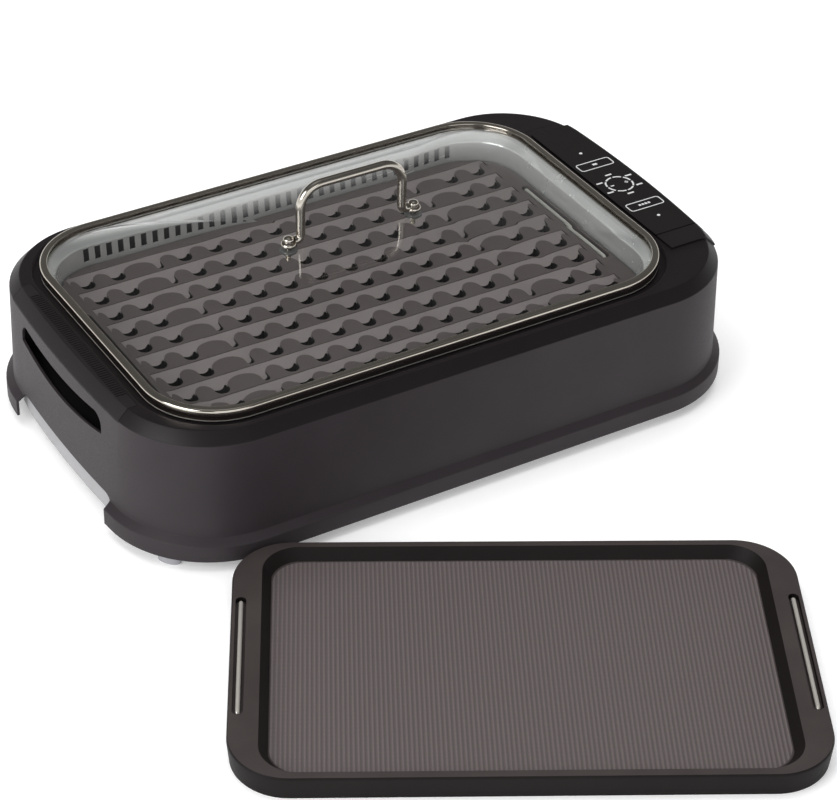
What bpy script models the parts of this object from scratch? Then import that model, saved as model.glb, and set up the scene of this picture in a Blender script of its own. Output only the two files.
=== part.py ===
"""Smokeless electric indoor grill with a glass lid, and its loose griddle plate.

Metres, +Z up, on a table at Z = 0. The grill's long side runs along X, its front faces -Y and
its touch panel is at +X. Everything that sits in the grill's bay (lid, plate, element, tray,
liner and fan) shares the bay's own centre line, which lies a little towards the grip end.
"""

import bmesh
import bpy
from math import atan2, cos, pi, radians, sin, sqrt
from mathutils import Matrix, Vector

# Driving dimensions
BODY_LENGTH = 0.518
BODY_WIDTH = 0.3166
BODY_CORNER = 0.079
END_BOW = 1.13
BODY_TOP = 0.1132
LID_LENGTH = 0.4342
LID_WIDTH = 0.280
LID_CORNER = 0.059
BAY_SHIFT = -0.0143
GROUND_GAP = 0.0085
FIT = 0.0003
OVERRUN = 0.010

# Outer housing
HOUSING_WALL = 0.002
SKIRT_OUT = 0.008
SKIRT_HEIGHT = 0.0120
SKIRT_ROUND = 0.0012
SKIRT_SLOPE = 0.0044
WALL_DRAFT = 0.002
CHAMFER_RUN = 0.008
CHAMFER_DROP = 0.0085
GROOVE_WIDTH = 0.006
GROOVE_DRAFT = 0.0005
LEDGE_DROP = 0.0032
LEDGE_REACH = 0.004
LEDGE_TURN_DOWN = 0.0055
ARCH_HALF_WIDTH = 0.0772
ARCH_TOP = 0.030
ARCH_ROUND = 0.0085
SLOT_Y = 0.003
SLOT_HALF_WIDTH = 0.069
SLOT_SHOULDER = 0.059
SLOT_TOP = 0.0945
SLOT_TOP_MIDDLE = 0.0908
SLOT_END = 0.0850
SLOT_CORNER = 0.0792
SLOT_BOTTOM = 0.0712

# Hand pockets behind the carrying slots
POCKET_DEPTH = 0.024
POCKET_WALL = 0.0015
POCKET_MARGIN = 0.003

# End pieces let into the housing's top
GRIP_HALF_SPAN = 0.091
GRIP_RIBS = 36
GRIP_RIB_SPAN = 0.150
GRIP_RIB_GROOVE = 0.0012
GRIP_RIB_DEPTH = 0.0007
BEZEL_HALF_SPAN = 0.105
PANEL_FRONT_SPAN = 0.0835
PANEL_BACK_SPAN = 0.096
END_PIECE_WALL = 0.0022
END_PIECE_LAP = 0.001
PANEL_WALL = 0.0014
BEZEL_POST_RADIUS = 0.0025
BOARD_LENGTH = 0.150
BOARD_WIDTH = 0.026
BOARD_WALL = 0.0016
BOARD_DROP = 0.0080
BOARD_X = 0.234
LENS_RADIUS = 0.0014
LENS_X = 0.230
LENS_Y = 0.05525
LENS_SHIFT_Y = -0.00465

# Base pan and feet
PAN_BOTTOM = 0.0078
PAN_TOP = 0.032
PAN_WALL = 0.002
PAN_ROUND = 0.003
PAN_IN = 0.0010
PAN_CORNER_MORE = 0.0118
FOOT_RADIAL = 0.0092
FOOT_ACROSS = 0.018
FOOT_ANGLE = radians(40.0)
FOOT_EDGE = 0.0012
VENT_COUNT = 14
VENT_WIDTH = 0.004
VENT_INNER = 0.032
VENT_OUTER = 0.056
POST_RADIUS = 0.005
POST_X = 0.135
POST_Y = 0.075
SCREW_HEAD_RADIUS = 0.0036
SCREW_HEAD_HEIGHT = 0.0016
SCREW_RADIUS = 0.0015
SCREW_LENGTH = 0.014
SCREW_HOLE_GAP = 0.0004

# Power inlet in the rear wall
INLET_X = 0.155
INLET_Z = 0.062
INLET_WIDTH = 0.034
INLET_HEIGHT = 0.026
INLET_DEPTH = 0.021
INLET_WALL = 0.0045
INLET_RECESS = 0.016
INLET_PROUD = 0.0006
PIN_WIDTH = 0.004
PIN_THICK = 0.002
PIN_LENGTH = 0.013
PIN_PITCH = 0.007
PIN_RISE = 0.0035

# Inner liner
LINER_WALL = 0.0012
LINER_EDGE_IN = 0.0005
LINER_FLANGE_IN = 0.0065
LINER_STEP_IN = 0.012
LINER_STEP_DROP = 0.0063
LINER_BAY_IN = 0.0135
LINER_BAY_DRAFT = 0.0007
PLATE_LEDGE = 0.0717
LEDGE_IN = 0.023
TUB_IN = 0.027
LINER_FLOOR = 0.0405
LINER_FLOOR_ROUND = 0.003
INTAKE_SLOTS = 34
INTAKE_PITCH = 0.0099
INTAKE_WIDTH = 0.0048
INTAKE_LOW = 0.0925
INTAKE_HIGH = 0.1035
NOTCH_HALF_WIDTH = 0.0265
NOTCH_BOTTOM = 0.0588

# Fan under the liner
MOTOR_RADIUS = 0.020
MOTOR_HEIGHT = 0.0085
SHAFT_RADIUS = 0.002
SHAFT_GAP = 0.0003
IMPELLER_RADIUS = 0.058
IMPELLER_INNER = 0.036
IMPELLER_BASE = 0.0208
IMPELLER_PLATE = 0.0012
IMPELLER_HEIGHT = 0.011
IMPELLER_RING = 0.005
HUB_RADIUS = 0.008
HUB_HEIGHT = 0.008
BLADE_COUNT = 14
BLADE_WALL = 0.0012
BLADE_TILT = radians(38.0)
SHROUD_RADIUS = 0.064
SHROUD_WALL = 0.0015
SHROUD_TOP = 0.0365
SHROUD_MOUTH = 0.043
SHROUD_GAPS = 6
SHROUD_GAP_WIDTH = 0.026
SHROUD_GAP_BOTTOM = 0.020

# Drip tray
TRAY_WALL = 0.0012
TRAY_IN = 0.0290
TRAY_BOTTOM_IN = 0.033
TRAY_TOP = 0.0560
TRAY_LIP = 0.0024
TRAY_ROUND = 0.002

# Heating element
TUBE_RADIUS = 0.0032
TUBE_OUTER_Y = 0.092
TUBE_INNER_Y = 0.034
TUBE_REACH_X = 0.165
TUBE_FEED_X = 0.150
TUBE_BEND = 0.024
TUBE_LEAD_Y = 0.012
BLOCK_INNER_X = 0.177
BLOCK_OUTER_X = 0.2030
BLOCK_HALF_WIDTH = 0.0245
BLOCK_BOTTOM = 0.0600
BLOCK_TOP = 0.0715
SOCKET_INNER_X = 0.1945
SOCKET_OUTER_X = 0.2100
SOCKET_BOTTOM = 0.044
BLADE_PIN_X = 0.1990
BLADE_PIN_Y = 0.012
BLADE_PIN_WIDE = 0.006
BLADE_PIN_THICK = 0.001
BLADE_PIN_RISE = 0.0075
BRACKET_X = 0.105
BRACKET_WIDTH = 0.010
BRACKET_WALL = 0.0012
BRACKET_IN = 0.0217

# Grill plate; the griddle has the same outside, a little smaller
PLATE_IN = 0.0141
PLATE_TOP = 0.0902
PLATE_EDGE_ROUND = 0.0009
PLATE_SKIRT_DRAFT = 0.0014
PLATE_SKIRT_WALL = 0.003
PLATE_SLAB = 0.0095
CHANNEL_START = 0.0005
CHANNEL_DEPTH = 0.0030
ROW_COUNT = 9
ROW_PITCH = 0.0246
FIELD_LENGTH = 0.376
FIELD_SHIFT_Y = 0.004
LOBE_GAP = 0.0058
WEB = 0.0023
VALLEY_RADIUS = 0.00575
SMALL_VALLEY_RADIUS = 0.003
LOBE_RISE = 0.0095
DRAIN_LENGTH = 0.0070
DRAIN_WIDTH = 0.0050
DRAIN_SET = 0.0020
valley_shares = (-0.9335, -0.798, -0.6144, -0.4934, -0.3524, -0.2114, -0.0705,
                 0.0705, 0.2114, 0.3524, 0.4934, 0.6144, 0.798, 0.9335)
small_valley_share = 0.6144

# Griddle plate, lying on the table in front
GRIDDLE_X = -0.083
GRIDDLE_Y = -0.358
GRIDDLE_ANGLE = radians(-29.0)
GRIDDLE_IN = 0.003
WELL_END_BORDER = 0.021
WELL_SIDE_BORDER = 0.0065
WELL_CORNER = 0.026
WELL_DEPTH = 0.0085
WELL_SLOPE = 0.006
GRIDDLE_SLAB = 0.0045

# Lift-up wire bails in the plates' ends
BAIL_RADIUS = 0.0016
BAIL_HALF_SPAN = 0.0575
BAIL_INSET = 0.0068
BAIL_DROP = 0.0018
BAIL_BEND = 0.0022
BAIL_LEG = 0.0140
BAIL_FOOT = 0.0045
BAIL_HOLE_GAP = 0.0003
BAIL_SLOT_WIDTH = 0.0075
BAIL_SLOT_LENGTH = 0.1212
BAIL_SLOT_DEPTH = 0.0040
BAIL_WEB = 0.0022
BAIL_ROOM_IN = 0.0030
BAIL_ROOM_OUT = 0.0021
BAIL_ROOM_END = 0.0022

# Lid
RIM_WIDTH = 0.006
RIM_HEIGHT = 0.0092
RIM_ROUND = 0.001
RIM_LIP = 0.0023
GLASS_WALL = 0.004
GLASS_EDGE_IN = 0.0030
GLASS_FLAT_IN = 0.0075
DOME_RISE = 0.0265
DOME_POWER = 2.3
dome_shares = (0.94, 0.84, 0.68, 0.50, 0.31)
HANDLE_FOOT_X = 0.0543
HANDLE_LEG_X = 0.044
HANDLE_TOP = 0.1945
HANDLE_RADIUS = 0.0029
HANDLE_BEND = 0.013
HANDLE_FOOT_BEND = 0.0042
EYE_RADIUS = 0.0060
EYE_WALL = 0.0040
STUD_RADIUS = 0.0020
STUD_HEAD_RADIUS = 0.0045
STUD_HEAD_HEIGHT = 0.0018
STUD_TAIL = 0.0060
SEAL_RADIUS = 0.0070
SEAL_WALL = 0.0012
NUT_RADIUS = 0.0042
NUT_HEIGHT = 0.0045
NUT_WALL = 0.0012
NUT_CROWN_RADIUS = 0.0025
NUT_CROWN_DROP = 0.0004
NUT_SHOULDER_DROP = 0.0018
STUD_GAP = 0.0004

# How finely curves are cut into facets
ARC_STEPS = 8
BOW_STEPS = 2
ROUND_SIDES = 20
SHROUD_SIDES = 24
LOBE_STEPS = 3

# Values worked out from the ones above
HALF_X = BODY_LENGTH / 2
HALF_Y = BODY_WIDTH / 2
SHOULDER = BODY_TOP - CHAMFER_DROP
SKIRT_TOP = GROUND_GAP + SKIRT_HEIGHT
WALL_FOOT = SKIRT_TOP + SKIRT_ROUND + SKIRT_SLOPE
HOUSING_LEDGE = BODY_TOP - LEDGE_DROP
LINER_TOP = HOUSING_LEDGE + FIT + LINER_WALL
LID_SEAT = LINER_TOP + FIT
PAN_FLOOR = PAN_BOTTOM + PAN_WALL
TRAY_BOTTOM = LINER_FLOOR + FIT
PLATE_BOTTOM = PLATE_LEDGE + FIT
TUBE_Z = PLATE_LEDGE + 2 * FIT + BRACKET_WALL + TUBE_RADIUS
PLATE_UNDERSIDE = PLATE_TOP - PLATE_SLAB
PLATE_HEIGHT = PLATE_TOP - PLATE_BOTTOM
PLATE_HALF_X = LID_LENGTH / 2 - PLATE_IN
PLATE_HALF_Y = LID_WIDTH / 2 - PLATE_IN
PLATE_CORNER = LID_CORNER - PLATE_IN
GRIDDLE_LIFT = PLATE_BOTTOM

COLOURS = {
    "charcoal": ((0.045, 0.040, 0.042), 0.45, 0.0),
    "grip black": ((0.020, 0.016, 0.018), 0.60, 0.0),
    "panel gloss": ((0.006, 0.005, 0.005), 0.12, 0.0),
    "pale grey": ((0.42, 0.42, 0.43), 0.50, 0.0),
    "liner steel": ((0.46, 0.47, 0.48), 0.35, 0.8),
    "plate coating": ((0.115, 0.096, 0.090), 0.42, 0.2),
    "griddle coating": ((0.070, 0.054, 0.052), 0.45, 0.2),
    "stainless": ((0.62, 0.60, 0.57), 0.18, 1.0),
    "glass": ((0.80, 0.84, 0.84), 0.04, 0.0),
    "element steel": ((0.16, 0.16, 0.17), 0.35, 0.9),
    "black plastic": ((0.018, 0.018, 0.018), 0.50, 0.0),
    "board green": ((0.015, 0.090, 0.040), 0.50, 0.0),
    "brass": ((0.60, 0.44, 0.16), 0.30, 1.0),
    "silicone": ((0.12, 0.12, 0.12), 0.70, 0.0),
    "white print": ((0.80, 0.80, 0.80), 0.40, 0.0),
    "rubber": ((0.30, 0.30, 0.31), 0.80, 0.0),
}


def clear_scene():
    for old in list(bpy.data.objects):
        bpy.data.objects.remove(old, do_unlink=True)


def make_collection(name):
    collection = bpy.data.collections.new(name)
    bpy.context.scene.collection.children.link(collection)
    return collection


def material(name):
    """One Principled material for each entry of COLOURS, made when first asked for."""
    found = bpy.data.materials.get(name)
    if found:
        return found
    colour, roughness, metallic = COLOURS[name]
    made = bpy.data.materials.new(name)
    made.use_nodes = True
    shader = made.node_tree.nodes["Principled BSDF"]
    shader.inputs["Base Color"].default_value = (*colour, 1.0)
    shader.inputs["Roughness"].default_value = roughness
    shader.inputs["Metallic"].default_value = metallic
    if name == "glass":
        shader.inputs["Alpha"].default_value = 0.3
    return made


def make_empty(name, parent=None, location=(0.0, 0.0, 0.0), turn=0.0):
    empty = bpy.data.objects.new(name, None)
    empty.parent = parent
    empty.location = location
    empty.rotation_euler = (0.0, 0.0, turn)
    bpy.context.scene.collection.objects.link(empty)
    return empty


def add_object(name, data, finish, parent):
    """Links a mesh or curve as a part, with its own material."""
    made = bpy.data.objects.new(name, data)
    made.parent = parent
    data.materials.append(material(finish))
    bpy.data.collections["electric_grill"].objects.link(made)
    return made


def add_cutter(name, data, parent):
    made = bpy.data.objects.new(name, data)
    made.parent = parent
    made.hide_render = True
    made.display_type = "WIRE"
    bpy.data.collections["cutters"].objects.link(made)
    return made


def combine(target, tool, operation="DIFFERENCE"):
    boolean = target.modifiers.new(tool.name, "BOOLEAN")
    boolean.object = tool
    boolean.operation = operation
    boolean.solver = "EXACT"


def to_mesh_data(bm, name):
    mesh = bpy.data.meshes.new(name)
    bm.to_mesh(mesh)
    bm.free()
    return mesh


def smooth(made, angle=radians(35.0)):
    made.data.shade_smooth()
    made.data.set_sharp_from_angle(angle=angle)


def turned_point(x, y, angle):
    return (x * cos(angle) - y * sin(angle), x * sin(angle) + y * cos(angle))


def quarter_outline(half_x, half_y, corner, bow):
    """The outline's +X +Y quarter: half of the end, then the corner's arc."""
    corner_x, corner_y, lean = half_x - corner, half_y - corner, 0.0
    end = [(half_x, corner_y * i / BOW_STEPS) for i in range(BOW_STEPS)]
    if bow:
        bow_x = half_x - bow
        corner_x = bow_x + sqrt((bow - corner) ** 2 - corner_y ** 2)
        lean = atan2(corner_y, corner_x - bow_x)
        turns = [lean * i / BOW_STEPS for i in range(BOW_STEPS)]
        end = [(bow_x + bow * cos(a), bow * sin(a)) for a in turns]
    turns = [lean + (pi / 2 - lean) * i / ARC_STEPS for i in range(ARC_STEPS + 1)]
    return end + [(corner_x + corner * cos(a), corner_y + corner * sin(a)) for a in turns]


def full_outline(half_x, half_y, corner, bow=None):
    """A rounded rectangle, anticlockwise from the middle of its +X end."""
    q = quarter_outline(half_x, half_y, corner, bow)
    left_back = [(-x, y) for x, y in reversed(q)]
    left_front = [(-x, -y) for x, y in q[1:]]
    right_front = [(x, -y) for x, y in reversed(q[1:])]
    return q + left_back + left_front + right_front


def body_ring(out, z):
    """The housing's outline, offset outwards, at one height."""
    flat = full_outline(HALF_X + out, HALF_Y + out, BODY_CORNER + out, END_BOW + out)
    return [(x, y, z) for x, y in flat]


def bay_ring(out, z, shift=0.0):
    """The lid's outline, offset outwards, at one height."""
    flat = full_outline(LID_LENGTH / 2 + out, LID_WIDTH / 2 + out, LID_CORNER + out)
    return [(x + shift, y, z) for x, y in flat]


def loft_mesh(name, rings, cap_first=False, cap_last=False, closed=False):
    """A skin through rings of equal counts, with n-gon caps, or closed on itself."""
    bm = bmesh.new()
    loops = [[bm.verts.new(point) for point in ring] for ring in rings]
    pairs = list(zip(loops, loops[1:]))
    if closed:
        pairs.append((loops[-1], loops[0]))
    for first, second in pairs:
        for i in range(len(first)):
            j = (i + 1) % len(first)
            bm.faces.new((first[i], first[j], second[j], second[i]))
    if cap_first:
        bm.faces.new(list(reversed(loops[0])))
    if cap_last:
        bm.faces.new(loops[-1])
    if closed or (cap_first and cap_last):
        bmesh.ops.recalc_face_normals(bm, faces=bm.faces[:])
    return to_mesh_data(bm, name)


def prism_mesh(name, outline, low, high):
    """A flat outline raised from low to high."""
    rings = [[(x, y, z) for x, y in outline] for z in (low, high)]
    return loft_mesh(name, rings, cap_first=True, cap_last=True)


def box_mesh(name, boxes):
    """One or more boxes, each given as its low and high corners, in one mesh."""
    bm = bmesh.new()
    for low, high in boxes:
        low, high = Vector(low), Vector(high)
        size, middle = high - low, (high + low) / 2
        matrix = Matrix.Translation(middle) @ Matrix.Diagonal((*size, 1.0))
        bmesh.ops.create_cube(bm, size=1.0, matrix=matrix)
    return to_mesh_data(bm, name)


def add_cylinder(bm, radius, low, high, x=0.0, y=0.0, sides=ROUND_SIDES):
    middle = Matrix.Translation((x, y, (low + high) / 2))
    bmesh.ops.create_cone(bm, cap_ends=True, segments=sides, radius1=radius, radius2=radius,
                          depth=high - low, matrix=middle)


def cylinder_mesh(name, radius, low, high, places=((0.0, 0.0),), sides=ROUND_SIDES):
    bm = bmesh.new()
    for x, y in places:
        add_cylinder(bm, radius, low, high, x, y, sides)
    return to_mesh_data(bm, name)


def shell(made, wall, side=-1.0):
    solid = made.modifiers.new("wall", "SOLIDIFY")
    solid.thickness = wall
    solid.offset = side
    solid.use_even_offset = True


def turned(name, profile, finish, parent, location=(0.0, 0.0, 0.0), sides=ROUND_SIDES):
    """A closed profile of (radius, z) turned round Z."""
    bm = bmesh.new()
    points = [bm.verts.new((r, 0.0, z)) for r, z in profile]
    for first, second in zip(points, points[1:]):
        bm.edges.new((first, second))
    if profile[0][0] > 0.0:
        bm.edges.new((points[-1], points[0]))
    made = add_object(name, to_mesh_data(bm, name), finish, parent)
    made.location = location
    screw = made.modifiers.new("turn", "SCREW")
    screw.steps = screw.render_steps = sides
    screw.use_merge_vertices = True
    screw.merge_threshold = FIT / 10
    screw.use_normal_calculate = True
    screw.use_normal_flip = True
    screw.use_smooth_shade = True
    return made


def rounded_path(points, bend, steps=4):
    """A path whose inner corners are swapped for arcs that touch both of their legs."""
    path = [Vector(points[0])]
    for before, corner, after in zip(points, points[1:], points[2:]):
        corner = Vector(corner)
        to_before = (Vector(before) - corner).normalized()
        to_after = (Vector(after) - corner).normalized()
        half = to_before.angle(to_after) / 2
        reach = bend * cos(half) / sin(half)
        centre = corner + (to_before + to_after).normalized() * bend / sin(half)
        start = corner + to_before * reach - centre
        finish = corner + to_after * reach - centre
        path += [centre + start.slerp(finish, i / steps) * bend for i in range(steps + 1)]
    return path + [Vector(points[-1])]


def wire(name, path, radius, finish, parent, location=(0.0, 0.0, 0.0), fineness=2):
    """A round wire or tube along a path."""
    curve = bpy.data.curves.new(name, "CURVE")
    curve.dimensions = "3D"
    curve.bevel_depth = radius
    curve.bevel_resolution = fineness
    curve.use_fill_caps = True
    spline = curve.splines.new("POLY")
    spline.points.add(len(path) - 1)
    for point, place in zip(spline.points, path):
        point.co = (*place, 1.0)
    made = add_object(name, curve, finish, parent)
    made.location = location
    return made


def curve_to_mesh(made):
    """Swaps a curve object for the same shape as a closed mesh object."""
    bpy.context.view_layer.update()
    shape = bpy.data.meshes.new_from_object(made.evaluated_get(
        bpy.context.evaluated_depsgraph_get()))
    bm = bmesh.new()
    bm.from_mesh(shape)
    bmesh.ops.remove_doubles(bm, verts=bm.verts[:], dist=FIT / 10)
    bmesh.ops.recalc_face_normals(bm, faces=bm.faces[:])
    bm.to_mesh(shape)
    bm.free()
    name, parent, location = made.name, made.parent, made.location.copy()
    collections = list(made.users_collection)
    bpy.data.objects.remove(made, do_unlink=True)
    swapped = bpy.data.objects.new(name, shape)
    swapped.parent = parent
    swapped.location = location
    for collection in collections:
        collection.objects.link(swapped)
    return swapped


def slot_outline():
    """The carrying slot seen from an end: a band that rises to both ends, with round shoulders."""
    steps = ARC_STEPS // 2
    span, drop = SLOT_HALF_WIDTH - SLOT_SHOULDER, SLOT_TOP - SLOT_END
    crown_rise, foot_rise = SLOT_TOP - SLOT_TOP_MIDDLE, SLOT_CORNER - SLOT_BOTTOM
    shares = [i / steps for i in range(1, steps)]
    crown = [(SLOT_SHOULDER * s, SLOT_TOP_MIDDLE + crown_rise * s ** 2) for s in shares]
    turns = [pi / 2 * i / steps for i in range(steps + 1)]
    shoulder = [(SLOT_SHOULDER + span * sin(a), SLOT_END + drop * cos(a)) for a in turns]
    shares = [1 - i / steps for i in range(steps)]
    foot = [(SLOT_HALF_WIDTH * s, SLOT_BOTTOM + foot_rise * s ** 2) for s in shares]
    right = crown + shoulder + foot
    left = [(-y, z) for y, z in reversed(right)]
    outline = [(0.0, SLOT_TOP_MIDDLE)] + right + [(0.0, SLOT_BOTTOM)] + left
    return [(SLOT_Y + y, z) for y, z in outline]


def arch_outline():
    """The finger arch at the foot of an end wall, open at the bottom."""
    inner, top = ARCH_HALF_WIDTH - ARCH_ROUND, ARCH_TOP - ARCH_ROUND
    turns = [pi / 2 * i / 4 for i in range(5)]
    right = [(inner + ARCH_ROUND * cos(a), top + ARCH_ROUND * sin(a)) for a in turns]
    left = [(-y, z) for y, z in reversed(right)]
    low = -OVERRUN
    return [(ARCH_HALF_WIDTH, low)] + right + left + [(-ARCH_HALF_WIDTH, low)]


def end_prism(name, outline, parent):
    """An outline in Y and Z, run through both ends of the housing as a cutter."""
    reach = HALF_X + SKIRT_OUT + OVERRUN
    rings = [[(x, y, z) for y, z in outline] for x in (-reach, reach)]
    mesh = loft_mesh(name, rings, cap_first=True, cap_last=True)
    return add_cutter(name, mesh, parent)


def top_skin_rings(lift=0.0):
    """The housing's top from just below its shoulder to the lid's groove."""
    inner = GROOVE_WIDTH + HOUSING_WALL
    return [
        body_ring(lift, SHOULDER - END_PIECE_LAP - HOUSING_WALL),
        body_ring(lift, SHOULDER + lift / 2),
        body_ring(lift / 2 - CHAMFER_RUN, BODY_TOP + lift),
        bay_ring(inner, BODY_TOP + lift, BAY_SHIFT),
    ]


def end_window(side, half_span, gap=0.0, front_span=None):
    """The box that an end piece fills, as low and high corners."""
    inner = LID_LENGTH / 2 + GROOVE_WIDTH + HOUSING_WALL + gap + side * BAY_SHIFT
    outer = HALF_X + SKIRT_OUT + OVERRUN
    low_x, high_x = sorted((side * inner, side * outer))
    bottom = SHOULDER - END_PIECE_LAP + gap
    front, back = (front_span or half_span) - gap, half_span - gap
    return (low_x, -front, bottom), (high_x, back, BODY_TOP + OVERRUN)


def make_outer_housing(parent):
    rings = [
        body_ring(SKIRT_OUT, GROUND_GAP),
        body_ring(SKIRT_OUT, SKIRT_TOP),
        body_ring(SKIRT_OUT - SKIRT_ROUND, SKIRT_TOP + SKIRT_ROUND),
        body_ring(WALL_DRAFT, WALL_FOOT),
        body_ring(0.0, SHOULDER),
        body_ring(-CHAMFER_RUN, BODY_TOP),
        bay_ring(GROOVE_WIDTH, BODY_TOP, BAY_SHIFT),
        bay_ring(GROOVE_WIDTH - GROOVE_DRAFT, HOUSING_LEDGE, BAY_SHIFT),
        bay_ring(-LEDGE_REACH, HOUSING_LEDGE, BAY_SHIFT),
        bay_ring(-LEDGE_REACH, HOUSING_LEDGE - LEDGE_TURN_DOWN, BAY_SHIFT),
    ]
    made = add_object("outer_housing", loft_mesh("outer_housing", rings), "charcoal", parent)
    shell(made, HOUSING_WALL)
    combine(made, end_prism("arch_cutter", arch_outline(), parent))
    combine(made, end_prism("slot_cutter", slot_outline(), parent))
    windows = [end_window(-1, GRIP_HALF_SPAN), end_window(1, BEZEL_HALF_SPAN)]
    combine(made, add_cutter("window_cutter", box_mesh("window_cutter", windows), parent))
    half_x, half_z = INLET_WIDTH / 2 + FIT, INLET_HEIGHT / 2 + FIT
    inlet_hole = [((INLET_X - half_x, HALF_Y - OVERRUN, INLET_Z - half_z),
                   (INLET_X + half_x, HALF_Y + OVERRUN, INLET_Z + half_z))]
    combine(made, add_cutter("inlet_cutter", box_mesh("inlet_cutter", inlet_hole), parent))
    smooth(made)
    return made


def make_end_piece(name, side, half_span, finish, parent):
    """The part of the housing's top that a separate end piece takes over."""
    made = add_object(name, loft_mesh(name, top_skin_rings()), finish, parent)
    shell(made, END_PIECE_WALL)
    keep = box_mesh(name + "_keep", [end_window(side, half_span, FIT)])
    combine(made, add_cutter(name + "_keep", keep, parent), "INTERSECT")
    return made


def make_grip(parent):
    made = make_end_piece("grip_insert", -1, GRIP_HALF_SPAN, "grip black", parent)
    pitch = GRIP_RIB_SPAN / GRIP_RIBS
    outer = HALF_X - CHAMFER_RUN / 2
    inner = LID_LENGTH / 2 - BAY_SHIFT + GROOVE_WIDTH
    grooves = []
    for i in range(GRIP_RIBS):
        y = (i + 0.5) * pitch - GRIP_RIB_SPAN / 2
        low = (-outer, y - GRIP_RIB_GROOVE / 2, BODY_TOP - GRIP_RIB_DEPTH)
        high = (-inner, y + GRIP_RIB_GROOVE / 2, BODY_TOP + OVERRUN)
        grooves.append((low, high))
    combine(made, add_cutter("rib_cutter", box_mesh("rib_cutter", grooves), parent))
    smooth(made)
    return made


def make_bezel(parent):
    """The panel's carrier, with four posts down to the board."""
    made = make_end_piece("panel_bezel", 1, BEZEL_HALF_SPAN, "grip black", parent)
    low = BODY_TOP - BOARD_DROP + FIT
    across, along = BOARD_WIDTH / 2 - BEZEL_POST_RADIUS, BOARD_LENGTH / 2 - BEZEL_POST_RADIUS
    places = [(BOARD_X + i * across, j * along) for i in (-1, 1) for j in (-1, 1)]
    posts = cylinder_mesh("bezel_posts", BEZEL_POST_RADIUS, low,
                          BODY_TOP - END_PIECE_WALL / 2, places, 10)
    combine(made, add_cutter("bezel_posts", posts, parent), "UNION")
    smooth(made)
    return made


def lens_places():
    return [(LENS_X, LENS_SHIFT_Y + LENS_Y), (LENS_X, LENS_SHIFT_Y - LENS_Y)]


def make_touch_panel(parent):
    """A thin gloss plate that lies over the bezel and its sloping edge."""
    made = add_object("touch_panel", loft_mesh("touch_panel", top_skin_rings(FIT)),
                      "panel gloss", parent)
    shell(made, PANEL_WALL, 1.0)
    keep = box_mesh("panel_keep", [end_window(1, PANEL_BACK_SPAN, FIT, PANEL_FRONT_SPAN)])
    combine(made, add_cutter("panel_keep", keep, parent), "INTERSECT")
    holes = cylinder_mesh("lens_cutter", LENS_RADIUS + FIT, BODY_TOP + FIT / 2,
                          BODY_TOP + OVERRUN, lens_places(), 12)
    combine(made, add_cutter("lens_cutter", holes, parent))
    smooth(made)
    return made


def make_lenses(parent):
    for number, (x, y) in enumerate(lens_places(), 1):
        mesh = cylinder_mesh("indicator_lens_%d" % number, LENS_RADIUS, BODY_TOP + FIT,
                             BODY_TOP + FIT + PANEL_WALL, ((x, y),), 12)
        add_object("indicator_lens_%d" % number, mesh, "white print", parent)


def make_board(parent):
    top = BODY_TOP - BOARD_DROP
    low = (BOARD_X - BOARD_WIDTH / 2, -BOARD_LENGTH / 2, top - BOARD_WALL)
    high = (BOARD_X + BOARD_WIDTH / 2, BOARD_LENGTH / 2, top)
    add_object("control_board", box_mesh("control_board", [(low, high)]), "board green", parent)


def make_hand_pocket(name, side, parent):
    """A scoop behind a carrying slot, whose mouth follows the bowed end wall."""
    low_z, high_z = SLOT_BOTTOM - POCKET_MARGIN, SLOT_TOP + POCKET_MARGIN
    half = SLOT_HALF_WIDTH + POCKET_MARGIN
    skin = HOUSING_WALL + FIT
    rings = [body_ring(-skin, low_z), body_ring(-skin, high_z)]
    mesh = loft_mesh(name, rings, cap_first=True, cap_last=True)
    made = add_object(name, mesh, "black plastic", parent)
    inner, outer = HALF_X - skin - POCKET_DEPTH, HALF_X + OVERRUN
    xs = sorted((side * inner, side * outer))
    keep = ((xs[0], SLOT_Y - half, low_z - OVERRUN), (xs[1], SLOT_Y + half, high_z + OVERRUN))
    combine(made, add_cutter(name + "_keep", box_mesh(name + "_keep", [keep]), parent),
            "INTERSECT")
    wall = POCKET_WALL
    xs = sorted((side * (inner + wall), side * outer))
    hollow = ((xs[0], SLOT_Y + wall - half, low_z + wall),
              (xs[1], SLOT_Y + half - wall, high_z - wall))
    combine(made, add_cutter(name + "_hollow", box_mesh(name + "_hollow", [hollow]), parent))
    return made


def post_places():
    return [(i * POST_X + BAY_SHIFT, j * POST_Y) for i in (-1, 1) for j in (-1, 1)]


def vent_boxes_mesh():
    """Radial vents under the fan, in one cutter."""
    bm = bmesh.new()
    for i in range(VENT_COUNT):
        turn = Matrix.Rotation(2 * pi * i / VENT_COUNT, 4, "Z")
        middle = Matrix.Translation(((VENT_INNER + VENT_OUTER) / 2, 0.0, PAN_BOTTOM))
        size = Matrix.Diagonal((VENT_OUTER - VENT_INNER, VENT_WIDTH, OVERRUN, 1.0))
        shift = Matrix.Translation((BAY_SHIFT, 0.0, 0.0))
        bmesh.ops.create_cube(bm, size=1.0, matrix=shift @ turn @ middle @ size)
    return to_mesh_data(bm, "vent_cutter")


def pan_ring(out, z):
    """The pan's outline, whose corners are fuller rounds, to leave room for the feet."""
    flat = full_outline(HALF_X + out, HALF_Y + out, BODY_CORNER + out + PAN_CORNER_MORE,
                        END_BOW + out)
    return [(x, y, z) for x, y in flat]


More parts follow.
